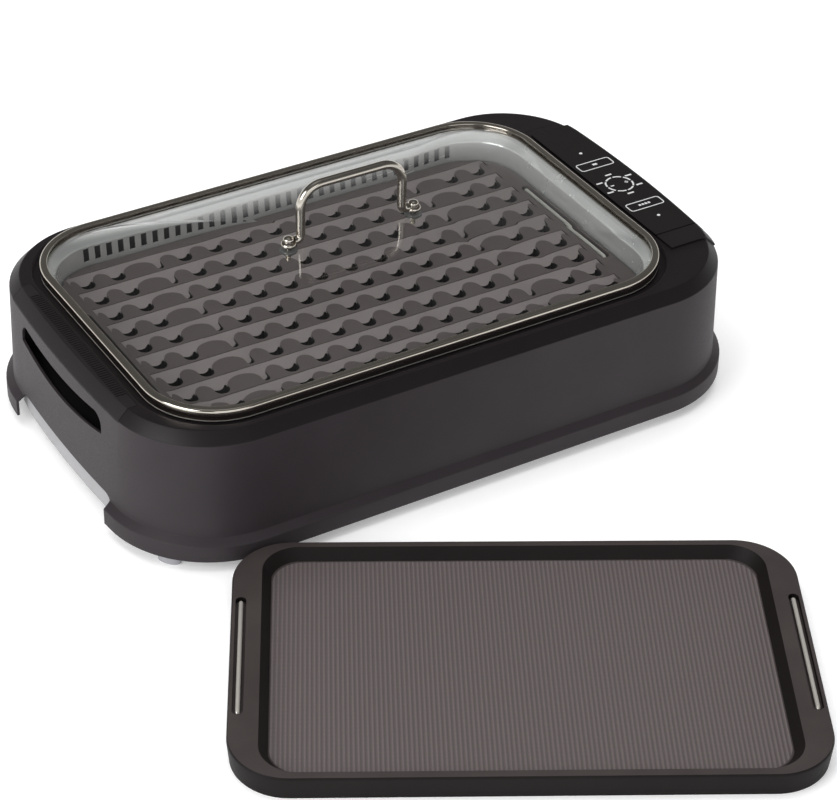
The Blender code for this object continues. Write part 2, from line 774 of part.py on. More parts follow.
def make_base_pan(parent):
    rings = [
        pan_ring(-PAN_IN - PAN_ROUND, PAN_BOTTOM),
        pan_ring(-PAN_IN, PAN_BOTTOM + PAN_ROUND),
        pan_ring(-PAN_IN, PAN_TOP),
        body_ring(WALL_DRAFT - HOUSING_WALL - 2 * FIT, PAN_TOP),
    ]
    made = add_object("base_pan", loft_mesh("base_pan", rings, cap_first=True), "pale grey",
                      parent)
    shell(made, PAN_WALL)
    combine(made, add_cutter("vent_cutter", vent_boxes_mesh(), parent))
    holes = cylinder_mesh("pan_screw_cutter", SCREW_RADIUS + SCREW_HOLE_GAP,
                          PAN_BOTTOM - OVERRUN, PAN_FLOOR + OVERRUN, post_places(), 12)
    combine(made, add_cutter("pan_screw_cutter", holes, parent))
    smooth(made)
    return made


def make_feet(parent):
    """Oval feet that stand in the skirt's corners and carry its top."""
    top = SKIRT_TOP
    centre_x = HALF_X - BODY_CORNER - (END_BOW - sqrt(END_BOW ** 2 - (HALF_Y - BODY_CORNER) ** 2))
    centre_y = HALF_Y - BODY_CORNER
    skirt = BODY_CORNER + SKIRT_OUT
    facet_sag = skirt * (1 - cos(pi / 4 / ARC_STEPS))
    reach = skirt - HOUSING_WALL - FIT - facet_sag - FOOT_RADIAL / 2
    number = 0
    for i in (-1, 1):
        for j in (-1, 1):
            number += 1
            bm = bmesh.new()
            bmesh.ops.create_cone(bm, cap_ends=True, segments=ROUND_SIDES, radius1=0.5,
                                  radius2=0.5, depth=1.0)
            bmesh.ops.scale(bm, vec=(FOOT_RADIAL, FOOT_ACROSS, top), verts=bm.verts[:])
            made = add_object("foot_%d" % number, to_mesh_data(bm, "foot"), "rubber", parent)
            made.location = (i * (centre_x + reach * cos(FOOT_ANGLE)),
                             j * (centre_y + reach * sin(FOOT_ANGLE)), top / 2)
            made.rotation_euler = (0.0, 0.0, i * j * FOOT_ANGLE)
            edge = made.modifiers.new("edge", "BEVEL")
            edge.width = FOOT_EDGE
            edge.segments = 1
            edge.limit_method = "ANGLE"
            edge.angle_limit = radians(60.0)
            smooth(made)


def make_posts(parent):
    """Pillars that carry the liner on the pan, each with a screw from below."""
    top = LINER_FLOOR - LINER_WALL - FIT
    bottom = PAN_FLOOR + FIT
    bore = SCREW_RADIUS + SCREW_HOLE_GAP
    depth = PAN_BOTTOM + SCREW_LENGTH + FIT
    head = PAN_BOTTOM - FIT - SCREW_HEAD_HEIGHT
    for number, (x, y) in enumerate(post_places(), 1):
        post = [(0.0, top), (POST_RADIUS, top), (POST_RADIUS, bottom), (bore, bottom),
                (bore, depth), (0.0, depth)]
        turned("liner_post_%d" % number, post, "black plastic", parent, (x, y, 0.0), 14)
        screw = [(0.0, PAN_BOTTOM + SCREW_LENGTH - FIT), (SCREW_RADIUS, depth - 2 * FIT),
                 (SCREW_RADIUS, PAN_BOTTOM - FIT), (SCREW_HEAD_RADIUS, PAN_BOTTOM - FIT),
                 (SCREW_HEAD_RADIUS, head), (0.0, head)]
        turned("liner_screw_%d" % number, screw, "stainless", parent, (x, y, 0.0), 12)


def make_inlet(parent):
    """A recessed appliance inlet with three flat pins."""
    back = HALF_Y + INLET_PROUD
    half_x, half_z = INLET_WIDTH / 2, INLET_HEIGHT / 2
    body = [((INLET_X - half_x, back - INLET_DEPTH, INLET_Z - half_z),
             (INLET_X + half_x, back, INLET_Z + half_z))]
    made = add_object("power_inlet", box_mesh("power_inlet", body), "black plastic", parent)
    floor = back - INLET_RECESS
    inner_x, inner_z = half_x - INLET_WALL, half_z - INLET_WALL
    hollow = [((INLET_X - inner_x, floor, INLET_Z - inner_z),
               (INLET_X + inner_x, back + OVERRUN, INLET_Z + inner_z))]
    combine(made, add_cutter("inlet_hollow", box_mesh("inlet_hollow", hollow), parent))
    pins = [(-PIN_PITCH, -PIN_RISE), (0.0, PIN_RISE), (PIN_PITCH, -PIN_RISE)]
    for number, (x, z) in enumerate(pins, 1):
        low = (INLET_X + x - PIN_THICK / 2, floor + FIT, INLET_Z + z - PIN_WIDTH / 2)
        high = (INLET_X + x + PIN_THICK / 2, floor + FIT + PIN_LENGTH,
                INLET_Z + z + PIN_WIDTH / 2)
        name = "inlet_pin_%d" % number
        add_object(name, box_mesh(name, [(low, high)]), "brass", parent)


def intake_boxes():
    """The upright slots in the liner's long walls, front and back."""
    wall_y = LID_WIDTH / 2 - LINER_BAY_IN
    boxes = []
    for i in range(INTAKE_SLOTS):
        x = (i - (INTAKE_SLOTS - 1) / 2) * INTAKE_PITCH
        for side in (-1, 1):
            ys = sorted((side * (wall_y - OVERRUN), side * (wall_y + OVERRUN)))
            boxes.append(((x - INTAKE_WIDTH / 2, ys[0], INTAKE_LOW),
                          (x + INTAKE_WIDTH / 2, ys[1], INTAKE_HIGH)))
    return boxes


def make_liner(bay):
    """The bright tub: a dished flange, a slotted wall, the plate's ledge and the tray's well."""
    rings = [
        bay_ring(-LINER_EDGE_IN, LINER_TOP),
        bay_ring(-LINER_FLANGE_IN, LINER_TOP),
        bay_ring(-LINER_STEP_IN, LINER_TOP - LINER_STEP_DROP),
        bay_ring(-LINER_BAY_IN + LINER_BAY_DRAFT, INTAKE_LOW),
        bay_ring(-LINER_BAY_IN, PLATE_LEDGE),
        bay_ring(-LEDGE_IN, PLATE_LEDGE),
        bay_ring(-TUB_IN, LINER_FLOOR + LINER_FLOOR_ROUND),
        bay_ring(-TUB_IN - LINER_FLOOR_ROUND, LINER_FLOOR),
    ]
    mesh = loft_mesh("inner_liner", rings, cap_last=True)
    made = add_object("inner_liner", mesh, "liner steel", bay)
    shell(made, LINER_WALL)
    combine(made, add_cutter("intake_cutter", box_mesh("intake_cutter", intake_boxes()), bay))
    low = (BLOCK_INNER_X, -NOTCH_HALF_WIDTH, NOTCH_BOTTOM)
    high = (LID_LENGTH / 2 - LINER_BAY_IN - FIT / 10, NOTCH_HALF_WIDTH, PLATE_LEDGE + FIT)
    combine(made, add_cutter("notch_cutter", box_mesh("notch_cutter", [(low, high)]), bay))
    smooth(made)
    return made


def make_motor(bay):
    low, high = PAN_FLOOR + FIT, PAN_FLOOR + FIT + MOTOR_HEIGHT
    bore = SHAFT_RADIUS + SHAFT_GAP
    seat = low + MOTOR_HEIGHT / 4
    profile = [(0.0, seat), (bore, seat), (bore, high), (MOTOR_RADIUS, high),
               (MOTOR_RADIUS, low), (0.0, low)]
    turned("fan_motor", profile, "black plastic", bay)


def make_shroud(bay):
    """A cover with a mouth on top and gaps in its side."""
    low = PAN_FLOOR + FIT
    outer, inner = SHROUD_RADIUS + SHROUD_WALL, SHROUD_RADIUS
    under = SHROUD_TOP - SHROUD_WALL
    profile = [(SHROUD_MOUTH, SHROUD_TOP), (outer, SHROUD_TOP), (outer, low), (inner, low),
               (inner, under), (SHROUD_MOUTH, under)]
    made = turned("fan_shroud", profile, "black plastic", bay, sides=SHROUD_SIDES)
    bm = bmesh.new()
    for i in range(SHROUD_GAPS):
        turn = Matrix.Rotation(2 * pi * i / SHROUD_GAPS, 4, "Z")
        height = under - SHROUD_GAP_BOTTOM
        middle = Matrix.Translation((SHROUD_RADIUS, 0.0, SHROUD_GAP_BOTTOM + height / 2))
        size = Matrix.Diagonal((OVERRUN, SHROUD_GAP_WIDTH, height, 1.0))
        bmesh.ops.create_cube(bm, size=1.0, matrix=turn @ middle @ size)
    combine(made, add_cutter("shroud_cutter", to_mesh_data(bm, "shroud_cutter"), bay))


def make_shaft(spin):
    bottom = PAN_FLOOR + FIT + MOTOR_HEIGHT / 4 + FIT
    top = IMPELLER_BASE + HUB_HEIGHT + FIT
    mesh = cylinder_mesh("fan_shaft", SHAFT_RADIUS, bottom, top, sides=16)
    smooth(add_object("fan_shaft", mesh, "stainless", spin))


def make_impeller(spin):
    """A backplate with a hub, leaning blades and a ring over their tops."""
    base, top = IMPELLER_BASE, IMPELLER_BASE + IMPELLER_HEIGHT
    plate = base + IMPELLER_PLATE
    bore = SHAFT_RADIUS + FIT
    profile = [(bore, base + HUB_HEIGHT), (HUB_RADIUS, base + HUB_HEIGHT), (HUB_RADIUS, plate),
               (IMPELLER_RADIUS, plate), (IMPELLER_RADIUS, base), (bore, base)]
    made = turned("fan_impeller", profile, "black plastic", spin, sides=SHROUD_SIDES)
    bm = bmesh.new()
    middle = (IMPELLER_RADIUS + IMPELLER_INNER) / 2
    length = (IMPELLER_RADIUS - IMPELLER_INNER) - BLADE_WALL
    for i in range(BLADE_COUNT):
        turn = Matrix.Rotation(2 * pi * i / BLADE_COUNT, 4, "Z")
        place = Matrix.Translation((middle, 0.0, (plate + top) / 2))
        lean = Matrix.Rotation(BLADE_TILT, 4, "Z")
        height = top - plate + IMPELLER_PLATE / 2
        size = Matrix.Diagonal((length, BLADE_WALL, height, 1.0))
        bmesh.ops.create_cube(bm, size=1.0, matrix=turn @ place @ lean @ size)
    combine(made, add_cutter("blade_shape", to_mesh_data(bm, "blade_shape"), spin), "UNION")
    ring = [(IMPELLER_RADIUS - IMPELLER_RING, top), (IMPELLER_RADIUS, top),
            (IMPELLER_RADIUS, top - IMPELLER_PLATE),
            (IMPELLER_RADIUS - IMPELLER_RING, top - IMPELLER_PLATE)]
    ring_shape = turned("blade_ring", ring, "black plastic", spin, sides=SHROUD_SIDES)
    ring_shape.hide_render = True
    ring_shape.display_type = "WIRE"
    bpy.data.collections["electric_grill"].objects.unlink(ring_shape)
    bpy.data.collections["cutters"].objects.link(ring_shape)
    combine(made, ring_shape, "UNION")


def make_tray(lift):
    rings = [
        bay_ring(-TRAY_BOTTOM_IN, TRAY_BOTTOM),
        bay_ring(-TRAY_BOTTOM_IN + TRAY_ROUND, TRAY_BOTTOM + TRAY_ROUND),
        bay_ring(-TRAY_IN, TRAY_TOP),
        bay_ring(-TRAY_IN + TRAY_LIP, TRAY_TOP),
    ]
    mesh = loft_mesh("drip_tray", rings, cap_first=True)
    made = add_object("drip_tray", mesh, "liner steel", lift)
    shell(made, TRAY_WALL)
    smooth(made)


def make_element(lift):
    """One tube bent into a flat loop that fills the plate's footprint."""
    lead_z = (BLOCK_BOTTOM + BLOCK_TOP) / 2
    y1, y2, y3 = TUBE_LEAD_Y, TUBE_INNER_Y + TUBE_LEAD_Y, TUBE_OUTER_Y
    x1, x2 = TUBE_FEED_X - TUBE_BEND, TUBE_REACH_X
    lead_in = [(BLOCK_INNER_X - FIT, y1, lead_z), (TUBE_REACH_X, y1, lead_z),
               (TUBE_FEED_X, y1, TUBE_Z)]
    half = [(-x1, y1, TUBE_Z), (-x1, y2, TUBE_Z), (x1, y2, TUBE_Z), (x1, y3, TUBE_Z),
            (-x2, y3, TUBE_Z)]
    back = lead_in + half
    front = [(x, -y, z) for x, y, z in reversed(back)]
    path = rounded_path(back + front, TUBE_LEAD_Y)
    wire("heating_element", path, TUBE_RADIUS, "element steel", lift, fineness=1)


def make_terminal(lift):
    low = (BLOCK_INNER_X, -BLOCK_HALF_WIDTH, BLOCK_BOTTOM)
    high = (BLOCK_OUTER_X, BLOCK_HALF_WIDTH, BLOCK_TOP)
    made = add_object("element_terminal", box_mesh("element_terminal", [(low, high)]),
                      "black plastic", lift)
    slots = []
    half_x, half_y = BLADE_PIN_THICK / 2 + FIT, BLADE_PIN_WIDE / 2 + FIT
    for y in (-BLADE_PIN_Y, BLADE_PIN_Y):
        slots.append(((BLADE_PIN_X - half_x, y - half_y, BLOCK_BOTTOM - OVERRUN),
                      (BLADE_PIN_X + half_x, y + half_y, BLOCK_BOTTOM + BLADE_PIN_RISE)))
    combine(made, add_cutter("terminal_cutter", box_mesh("terminal_cutter", slots), lift))


def make_socket(bay):
    """The fixed socket below the terminal block, with its two upright blades."""
    top = BLOCK_BOTTOM - FIT
    low = (SOCKET_INNER_X, -BLOCK_HALF_WIDTH, SOCKET_BOTTOM)
    high = (SOCKET_OUTER_X, BLOCK_HALF_WIDTH, top)
    made = add_object("element_socket", box_mesh("element_socket", [(low, high)]),
                      "black plastic", bay)
    half_x, half_y = BLADE_PIN_THICK / 2, BLADE_PIN_WIDE / 2
    blades = []
    for y in (-BLADE_PIN_Y, BLADE_PIN_Y):
        blades.append(((BLADE_PIN_X - half_x, y - half_y, SOCKET_BOTTOM + OVERRUN),
                       (BLADE_PIN_X + half_x, y + half_y,
                        BLOCK_BOTTOM + BLADE_PIN_RISE - 2 * FIT)))
    combine(made, add_cutter("blade_pins", box_mesh("blade_pins", blades), bay), "UNION")


def make_brackets(lift):
    """Flat bars that carry the element on the liner's ledge."""
    half = LID_WIDTH / 2 - BRACKET_IN
    low_z = PLATE_LEDGE + FIT
    for number, x in enumerate((-BRACKET_X, BRACKET_X), 1):
        low = (x - BRACKET_WIDTH / 2, -half, low_z)
        high = (x + BRACKET_WIDTH / 2, half, low_z + BRACKET_WALL)
        name = "element_bracket_%d" % number
        add_object(name, box_mesh(name, [(low, high)]), "liner steel", lift)


def plate_body(name, finish, parent, slab, drop=0.0, inset=0.0):
    """The outside that both plates share: rounded top edge, drafted skirt, hollow underside."""
    top, bottom = PLATE_TOP - drop, PLATE_BOTTOM - drop
    edge = PLATE_IN + inset
    skirt = edge + PLATE_SKIRT_DRAFT
    rings = [
        bay_ring(-edge - PLATE_EDGE_ROUND, top),
        bay_ring(-edge, top - PLATE_EDGE_ROUND),
        bay_ring(-skirt, bottom),
        bay_ring(-skirt - PLATE_SKIRT_WALL, bottom),
        bay_ring(-skirt - PLATE_SKIRT_WALL, top - slab),
    ]
    mesh = loft_mesh(name, rings, cap_first=True, cap_last=True)
    return add_object(name, mesh, finish, parent)


def valley_radius(share):
    return SMALL_VALLEY_RADIUS if abs(share) == small_valley_share else VALLEY_RADIUS


def channel_outline(back_y, steps):
    """One grease channel: straight behind, and in front a row of lobes with valleys between."""
    half = FIELD_LENGTH / 2
    lobe_top = back_y - LOBE_GAP
    valley_y = back_y - ROW_PITCH + WEB
    lobe_foot = lobe_top - LOBE_RISE
    valleys = [(share * half, valley_radius(share)) for share in valley_shares]
    starts = [-half] + [x + r for x, r in valleys]
    ends = [x - r for x, r in valleys] + [half]
    points = [(half, back_y), (-half, back_y)]
    for i, (start, end) in enumerate(zip(starts, ends)):
        middle, reach = (start + end) / 2, (end - start) / 2
        turns = [pi - pi * k / steps for k in range(steps + 1)]
        points += [(middle + reach * cos(a), lobe_foot + LOBE_RISE * sin(a)) for a in turns]
        if i < len(valleys):
            x, r = valleys[i]
            turns = [pi + pi * k / steps for k in range(steps + 1)]
            points += [(x + r * cos(a), valley_y + r + r * sin(a)) for a in turns]
    return points


def row_backs():
    """The straight back edge of each channel, from the rear row to the front row."""
    first = ROW_PITCH * (ROW_COUNT / 2) + FIELD_SHIFT_Y
    return [first - i * ROW_PITCH for i in range(ROW_COUNT)]


def channel_floor(behind):
    """The floor falls from the straight back edge to the valleys in front."""
    fall = (CHANNEL_DEPTH - CHANNEL_START) * behind / (ROW_PITCH - WEB)
    return PLATE_TOP - CHANNEL_START - fall


def make_channels(parent):
    bm = bmesh.new()
    for back_y in row_backs():
        outline = channel_outline(back_y, LOBE_STEPS)
        loops = []
        floor = [(x, y, channel_floor(back_y - y)) for x, y in outline]
        for ring in (floor, [(x, y, PLATE_TOP + OVERRUN) for x, y in outline]):
            loops.append([bm.verts.new(point) for point in ring])
        low, high = loops
        for i in range(len(outline)):
            j = (i + 1) % len(outline)
            bm.faces.new((low[i], low[j], high[j], high[i]))
        bm.faces.new(list(reversed(low)))
        bm.faces.new(high)
    bmesh.ops.recalc_face_normals(bm, faces=bm.faces[:])
    return add_cutter("channel_cutter", to_mesh_data(bm, "channel_cutter"), parent)


def drain_boxes():
    """Slots through the foot of every full valley."""
    boxes = []
    low_z, high_z = PLATE_UNDERSIDE - OVERRUN, PLATE_TOP
    for back_y in row_backs():
        middle_y = back_y - ROW_PITCH + WEB + DRAIN_SET + DRAIN_WIDTH / 2
        for share in valley_shares:
            if abs(share) == small_valley_share:
                continue
            x = share * FIELD_LENGTH / 2
            boxes.append(((x - DRAIN_LENGTH / 2, middle_y - DRAIN_WIDTH / 2, low_z),
                          (x + DRAIN_LENGTH / 2, middle_y + DRAIN_WIDTH / 2, high_z)))
    return boxes


def make_bail_pocket(name, side, bar_x, top, parent):
    """A slot for the bar, a bore for each leg and room below for each foot to rise."""
    web_top = top - BAIL_SLOT_DEPTH
    web_bottom = web_top - BAIL_WEB
    half_x, half_y = BAIL_SLOT_WIDTH / 2, BAIL_SLOT_LENGTH / 2
    slot = [((bar_x - half_x, -half_y, web_top), (bar_x + half_x, half_y, top + OVERRUN))]
    xs = sorted((bar_x - side * BAIL_ROOM_IN, bar_x + side * BAIL_ROOM_OUT))
    near = BAIL_HALF_SPAN - BAIL_FOOT - BAIL_ROOM_END
    far = BAIL_HALF_SPAN + BAIL_ROOM_END
    rooms = []
    for ys in ((-far, -near), (near, far)):
        rooms.append(((xs[0], ys[0], top - PLATE_HEIGHT - OVERRUN), (xs[1], ys[1], web_bottom)))
    bores = cylinder_mesh(name + "_bores", BAIL_RADIUS + BAIL_HOLE_GAP, web_bottom - BAIL_WEB,
                          web_top + BAIL_WEB,
                          ((bar_x, -BAIL_HALF_SPAN), (bar_x, BAIL_HALF_SPAN)), 12)
    return [add_cutter(name, box_mesh(name, slot), parent),
            add_cutter(name + "_rooms", box_mesh(name + "_rooms", rooms), parent),
            add_cutter(name + "_bores", bores, parent)]


def make_bail(name, bar_x, top, parent):
    """A wire loop that lifts out of its slot until its feet meet the plate's underside."""
    inner = BAIL_HALF_SPAN - BAIL_FOOT
    points = [(0.0, -inner, -BAIL_LEG), (0.0, -BAIL_HALF_SPAN, -BAIL_LEG),
              (0.0, -BAIL_HALF_SPAN, 0.0), (0.0, BAIL_HALF_SPAN, 0.0),
              (0.0, BAIL_HALF_SPAN, -BAIL_LEG), (0.0, inner, -BAIL_LEG)]
    path = rounded_path(points, BAIL_BEND, 3)
    wire(name, path, BAIL_RADIUS, "stainless", parent, (bar_x, 0.0, top - BAIL_DROP), 1)


def fit_bails(made, word, half_x, top, parent):
    """Both bails of a plate, with their slots cut into it."""
    for side, end in ((-1, "left"), (1, "right")):
        bar_x = side * (half_x - BAIL_INSET)
        for tool in make_bail_pocket(word + "_pocket_" + end, side, bar_x, top, parent):
            combine(made, tool)
        make_bail(word + "_bail_" + end, bar_x, top, parent)


def make_grill_plate(lift):
    made = plate_body("grill_plate", "plate coating", lift, PLATE_SLAB)
    combine(made, make_channels(lift))
    combine(made, add_cutter("drain_cutter", box_mesh("drain_cutter", drain_boxes()), lift))
    fit_bails(made, "grill", PLATE_HALF_X, PLATE_TOP, lift)
    smooth(made)


def well_ring(slope, z):
    border = GRIDDLE_IN + slope
    flat = full_outline(PLATE_HALF_X - WELL_END_BORDER - border,
                        PLATE_HALF_Y - WELL_SIDE_BORDER - border, WELL_CORNER - slope / 2)
    return [(x, y, z) for x, y in flat]


def make_griddle(root):
    """The flat plate, a little smaller than the grill plate, standing on the table."""
    top = PLATE_TOP - GRIDDLE_LIFT
    slab = WELL_DEPTH + GRIDDLE_SLAB
    made = plate_body("griddle_plate", "griddle coating", root, slab, GRIDDLE_LIFT, GRIDDLE_IN)
    floor = top - WELL_DEPTH
    steep = WELL_SLOPE * (WELL_DEPTH + OVERRUN) / WELL_DEPTH
    rings = [well_ring(WELL_SLOPE, floor), well_ring(WELL_SLOPE - steep, top + OVERRUN)]
    well = loft_mesh("well_cutter", rings, cap_first=True, cap_last=True)
    combine(made, add_cutter("well_cutter", well, root))
    fit_bails(made, "griddle", PLATE_HALF_X - GRIDDLE_IN, top, root)
    smooth(made)


def glass_edge_z():
    """The top of the glass where the rim holds it."""
    return LID_SEAT + RIM_HEIGHT - RIM_LIP


def dome_height(share):
    """The glass's top at a share of the way out from its middle."""
    return glass_edge_z() + DOME_RISE * (1 - share ** DOME_POWER)


def handle_seat_z():
    """The top of the glass's middle, which is flat and carries both handle feet."""
    return dome_height(dome_shares[-1])


def foot_places():
    return ((-HANDLE_FOOT_X, 0.0), (HANDLE_FOOT_X, 0.0))


def make_glass(lift):
    edge = bay_ring(-GLASS_FLAT_IN, glass_edge_z())
    rings = [bay_ring(-GLASS_EDGE_IN, glass_edge_z()), edge]
    for share in dome_shares:
        rings.append([(x * share, y * share, dome_height(share)) for x, y, z in edge])
    made = add_object("lid_glass", loft_mesh("lid_glass", rings, cap_last=True), "glass", lift)
    shell(made, GLASS_WALL)
    low, high = LID_SEAT, LID_SEAT + RIM_HEIGHT + DOME_RISE + OVERRUN
    holes = cylinder_mesh("glass_cutter", STUD_RADIUS + 2 * STUD_GAP, low, high, foot_places(),
                          14)
    combine(made, add_cutter("glass_cutter", holes, lift))
    smooth(made)


def make_rim(lift):
    """A steel band with a slot that holds the glass's edge."""
    bottom, top = LID_SEAT, LID_SEAT + RIM_HEIGHT
    slot_high = glass_edge_z() + FIT
    slot_low = glass_edge_z() - GLASS_WALL - FIT
    section = [
        (-RIM_ROUND, bottom), (0.0, bottom + RIM_ROUND), (0.0, top - RIM_ROUND),
        (-RIM_ROUND, top), (-RIM_WIDTH, top - RIM_ROUND / 2), (-RIM_WIDTH, slot_high),
        (-GLASS_EDGE_IN + FIT, slot_high), (-GLASS_EDGE_IN + FIT, slot_low),
        (-RIM_WIDTH, slot_low), (-RIM_WIDTH, bottom),
    ]
    rings = [bay_ring(out, z) for out, z in section]
    made = add_object("lid_rim", loft_mesh("lid_rim", rings, closed=True), "stainless", lift)
    smooth(made)


def make_handle(lift):
    """A bent wire with a flat eye at each foot."""
    seat = handle_seat_z() + FIT
    foot_z = seat + HANDLE_RADIUS
    start_x = HANDLE_FOOT_X - NUT_RADIUS - FIT
    points = [(-start_x, 0.0, foot_z), (-HANDLE_LEG_X, 0.0, foot_z),
              (-HANDLE_LEG_X, 0.0, HANDLE_TOP - HANDLE_RADIUS)]
    low_bend = rounded_path(points, HANDLE_FOOT_BEND, 4)[:-1]
    crown = [low_bend[-1], points[-1], (HANDLE_LEG_X, 0.0, HANDLE_TOP - HANDLE_RADIUS),
             (HANDLE_LEG_X, 0.0, foot_z + HANDLE_FOOT_BEND)]
    middle = rounded_path(crown, HANDLE_BEND, 6)[1:-1]
    mirrored = [(-x, y, z) for x, y, z in reversed(low_bend)]
    made = wire("lid_handle", low_bend + middle + mirrored, HANDLE_RADIUS, "stainless", lift)
    made = curve_to_mesh(made)
    eyes = cylinder_mesh("eye_shape", EYE_RADIUS, seat, seat + EYE_WALL, foot_places())
    combine(made, add_cutter("eye_shape", eyes, lift), "UNION")
    bores = cylinder_mesh("eye_cutter", STUD_RADIUS + STUD_GAP, seat - OVERRUN,
                          seat + OVERRUN, foot_places(), 14)
    combine(made, add_cutter("eye_cutter", bores, lift))
    smooth(made)


def make_lid_fixings(lift):
    """At each foot a collared stud from below through a seal, and a domed nut on top."""
    glass_under = handle_seat_z() - GLASS_WALL
    seal_top = glass_under - FIT
    seal_low = seal_top - SEAL_WALL
    head_top = seal_low - FIT
    nut_low = handle_seat_z() + EYE_WALL + 2 * FIT
    stud_top = nut_low + NUT_HEIGHT / 2
    bore = STUD_RADIUS + FIT
    slope = FIT
    head_low = head_top - slope - STUD_HEAD_HEIGHT
    for number, (x, y) in enumerate(foot_places(), 1):
        place = (x, y, 0.0)
        stud = [(0.0, stud_top), (STUD_RADIUS, stud_top), (STUD_RADIUS, head_top - slope),
                (STUD_HEAD_RADIUS, head_top - slope),
                (STUD_HEAD_RADIUS, head_low), (STUD_RADIUS, head_low),
                (STUD_RADIUS, head_low - STUD_TAIL), (0.0, head_low - STUD_TAIL)]
        turned("lid_stud_%d" % number, stud, "stainless", lift, place, 16)
        seal = [(bore, seal_top - slope), (SEAL_RADIUS, seal_top - slope),
                (SEAL_RADIUS, seal_low - slope), (bore, seal_low - slope)]
        turned("lid_seal_%d" % number, seal, "silicone", lift, place, 16)
        crown = nut_low + NUT_HEIGHT
        inner_top = crown - NUT_WALL
        nut = [(0.0, crown), (NUT_CROWN_RADIUS, crown - NUT_CROWN_DROP),
               (NUT_RADIUS, crown - NUT_SHOULDER_DROP), (NUT_RADIUS, nut_low),
               (bore, nut_low), (bore, inner_top), (0.0, inner_top)]
        turned("lid_nut_%d" % number, nut, "stainless", lift, place, 16)


def set_centre():
    """The middle of the box round the whole set, seen from above."""
    turn_sin, turn_cos = abs(sin(GRIDDLE_ANGLE)), abs(cos(GRIDDLE_ANGLE))
    straight_x, straight_y = PLATE_HALF_X - PLATE_CORNER, PLATE_HALF_Y - PLATE_CORNER
    corner = PLATE_CORNER - GRIDDLE_IN
    griddle_front = GRIDDLE_Y - straight_x * turn_sin - straight_y * turn_cos - corner
    griddle_left = GRIDDLE_X - straight_x * turn_cos - straight_y * turn_sin - corner
    skirt_end = HALF_X + SKIRT_OUT - ARCH_HALF_WIDTH ** 2 / (2 * END_BOW)
    return (skirt_end + griddle_left) / 2, (HALF_Y + SKIRT_OUT + griddle_front) / 2


def build():
    clear_scene()
    make_collection("electric_grill")
    make_collection("cutters")
    centre_x, centre_y = set_centre()
    grill = make_empty("grill_root", location=(-centre_x, -centre_y, 0.0))
    griddle = make_empty("griddle_root", turn=GRIDDLE_ANGLE,
                         location=(GRIDDLE_X - centre_x, GRIDDLE_Y - centre_y, 0.0))
    bay = make_empty("bay_axis", grill, (BAY_SHIFT, 0.0, 0.0))
    spin = make_empty("fan_axis", bay)
    tray_lift = make_empty("tray_lift_axis", bay)
    element_lift = make_empty("element_lift_axis", bay)
    plate_lift = make_empty("plate_lift_axis", bay)
    lid_lift = make_empty("lid_lift_axis", bay)
    make_outer_housing(grill)
    make_grip(grill)
    make_bezel(grill)
    make_touch_panel(grill)
    make_lenses(grill)
    make_board(grill)
    make_hand_pocket("hand_pocket_left", -1, grill)
    make_hand_pocket("hand_pocket_right", 1, grill)
    make_base_pan(grill)
    make_feet(grill)
    make_posts(grill)
    make_inlet(grill)
    make_liner(bay)
    make_socket(bay)
    make_motor(bay)
    make_shroud(bay)
    make_shaft(spin)
    make_impeller(spin)
    make_tray(tray_lift)
    make_element(element_lift)
    make_terminal(element_lift)
    make_brackets(element_lift)
    make_grill_plate(plate_lift)
    make_rim(lid_lift)
    make_glass(lid_lift)
    make_handle(lid_lift)
    make_lid_fixings(lid_lift)
    make_griddle(griddle)


build()
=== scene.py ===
"""Looks for the indoor grill: finer shells over the CAD frame, materials, light and camera."""

from math import atan2, cos, pi, radians, sin, sqrt

import bmesh
import bpy
from mathutils import Matrix, Vector


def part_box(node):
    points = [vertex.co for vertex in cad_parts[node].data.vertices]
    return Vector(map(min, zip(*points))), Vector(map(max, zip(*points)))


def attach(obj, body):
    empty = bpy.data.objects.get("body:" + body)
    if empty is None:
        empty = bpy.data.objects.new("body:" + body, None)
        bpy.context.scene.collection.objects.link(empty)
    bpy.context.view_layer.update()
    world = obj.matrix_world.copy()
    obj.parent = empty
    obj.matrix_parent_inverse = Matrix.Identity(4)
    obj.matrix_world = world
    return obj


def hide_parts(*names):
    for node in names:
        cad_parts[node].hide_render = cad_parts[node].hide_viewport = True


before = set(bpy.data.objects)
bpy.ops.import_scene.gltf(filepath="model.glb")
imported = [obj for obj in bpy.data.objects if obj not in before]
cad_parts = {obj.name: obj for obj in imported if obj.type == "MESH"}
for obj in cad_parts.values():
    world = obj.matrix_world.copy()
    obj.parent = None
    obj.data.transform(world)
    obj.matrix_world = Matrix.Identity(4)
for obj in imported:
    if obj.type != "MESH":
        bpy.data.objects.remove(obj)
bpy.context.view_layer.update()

# How far the bay's centre line stands from the housing's along X, and the griddle's turn
SHIFT = -0.0143
GRIDDLE_TURN = radians(-29.0)


def centre_of(node):
    low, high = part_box(node)
    return Matrix.Translation(((low.x + high.x) / 2, (low.y + high.y) / 2, 0.0))


# Places, read from the frame: the bay's centre line, the housing's centre and the griddle's
BAY = centre_of("lid_rim")
BODY = BAY @ Matrix.Translation((-SHIFT, 0.0, 0.0))
GRIDDLE = centre_of("griddle_plate") @ Matrix.Rotation(GRIDDLE_TURN, 4, "Z")

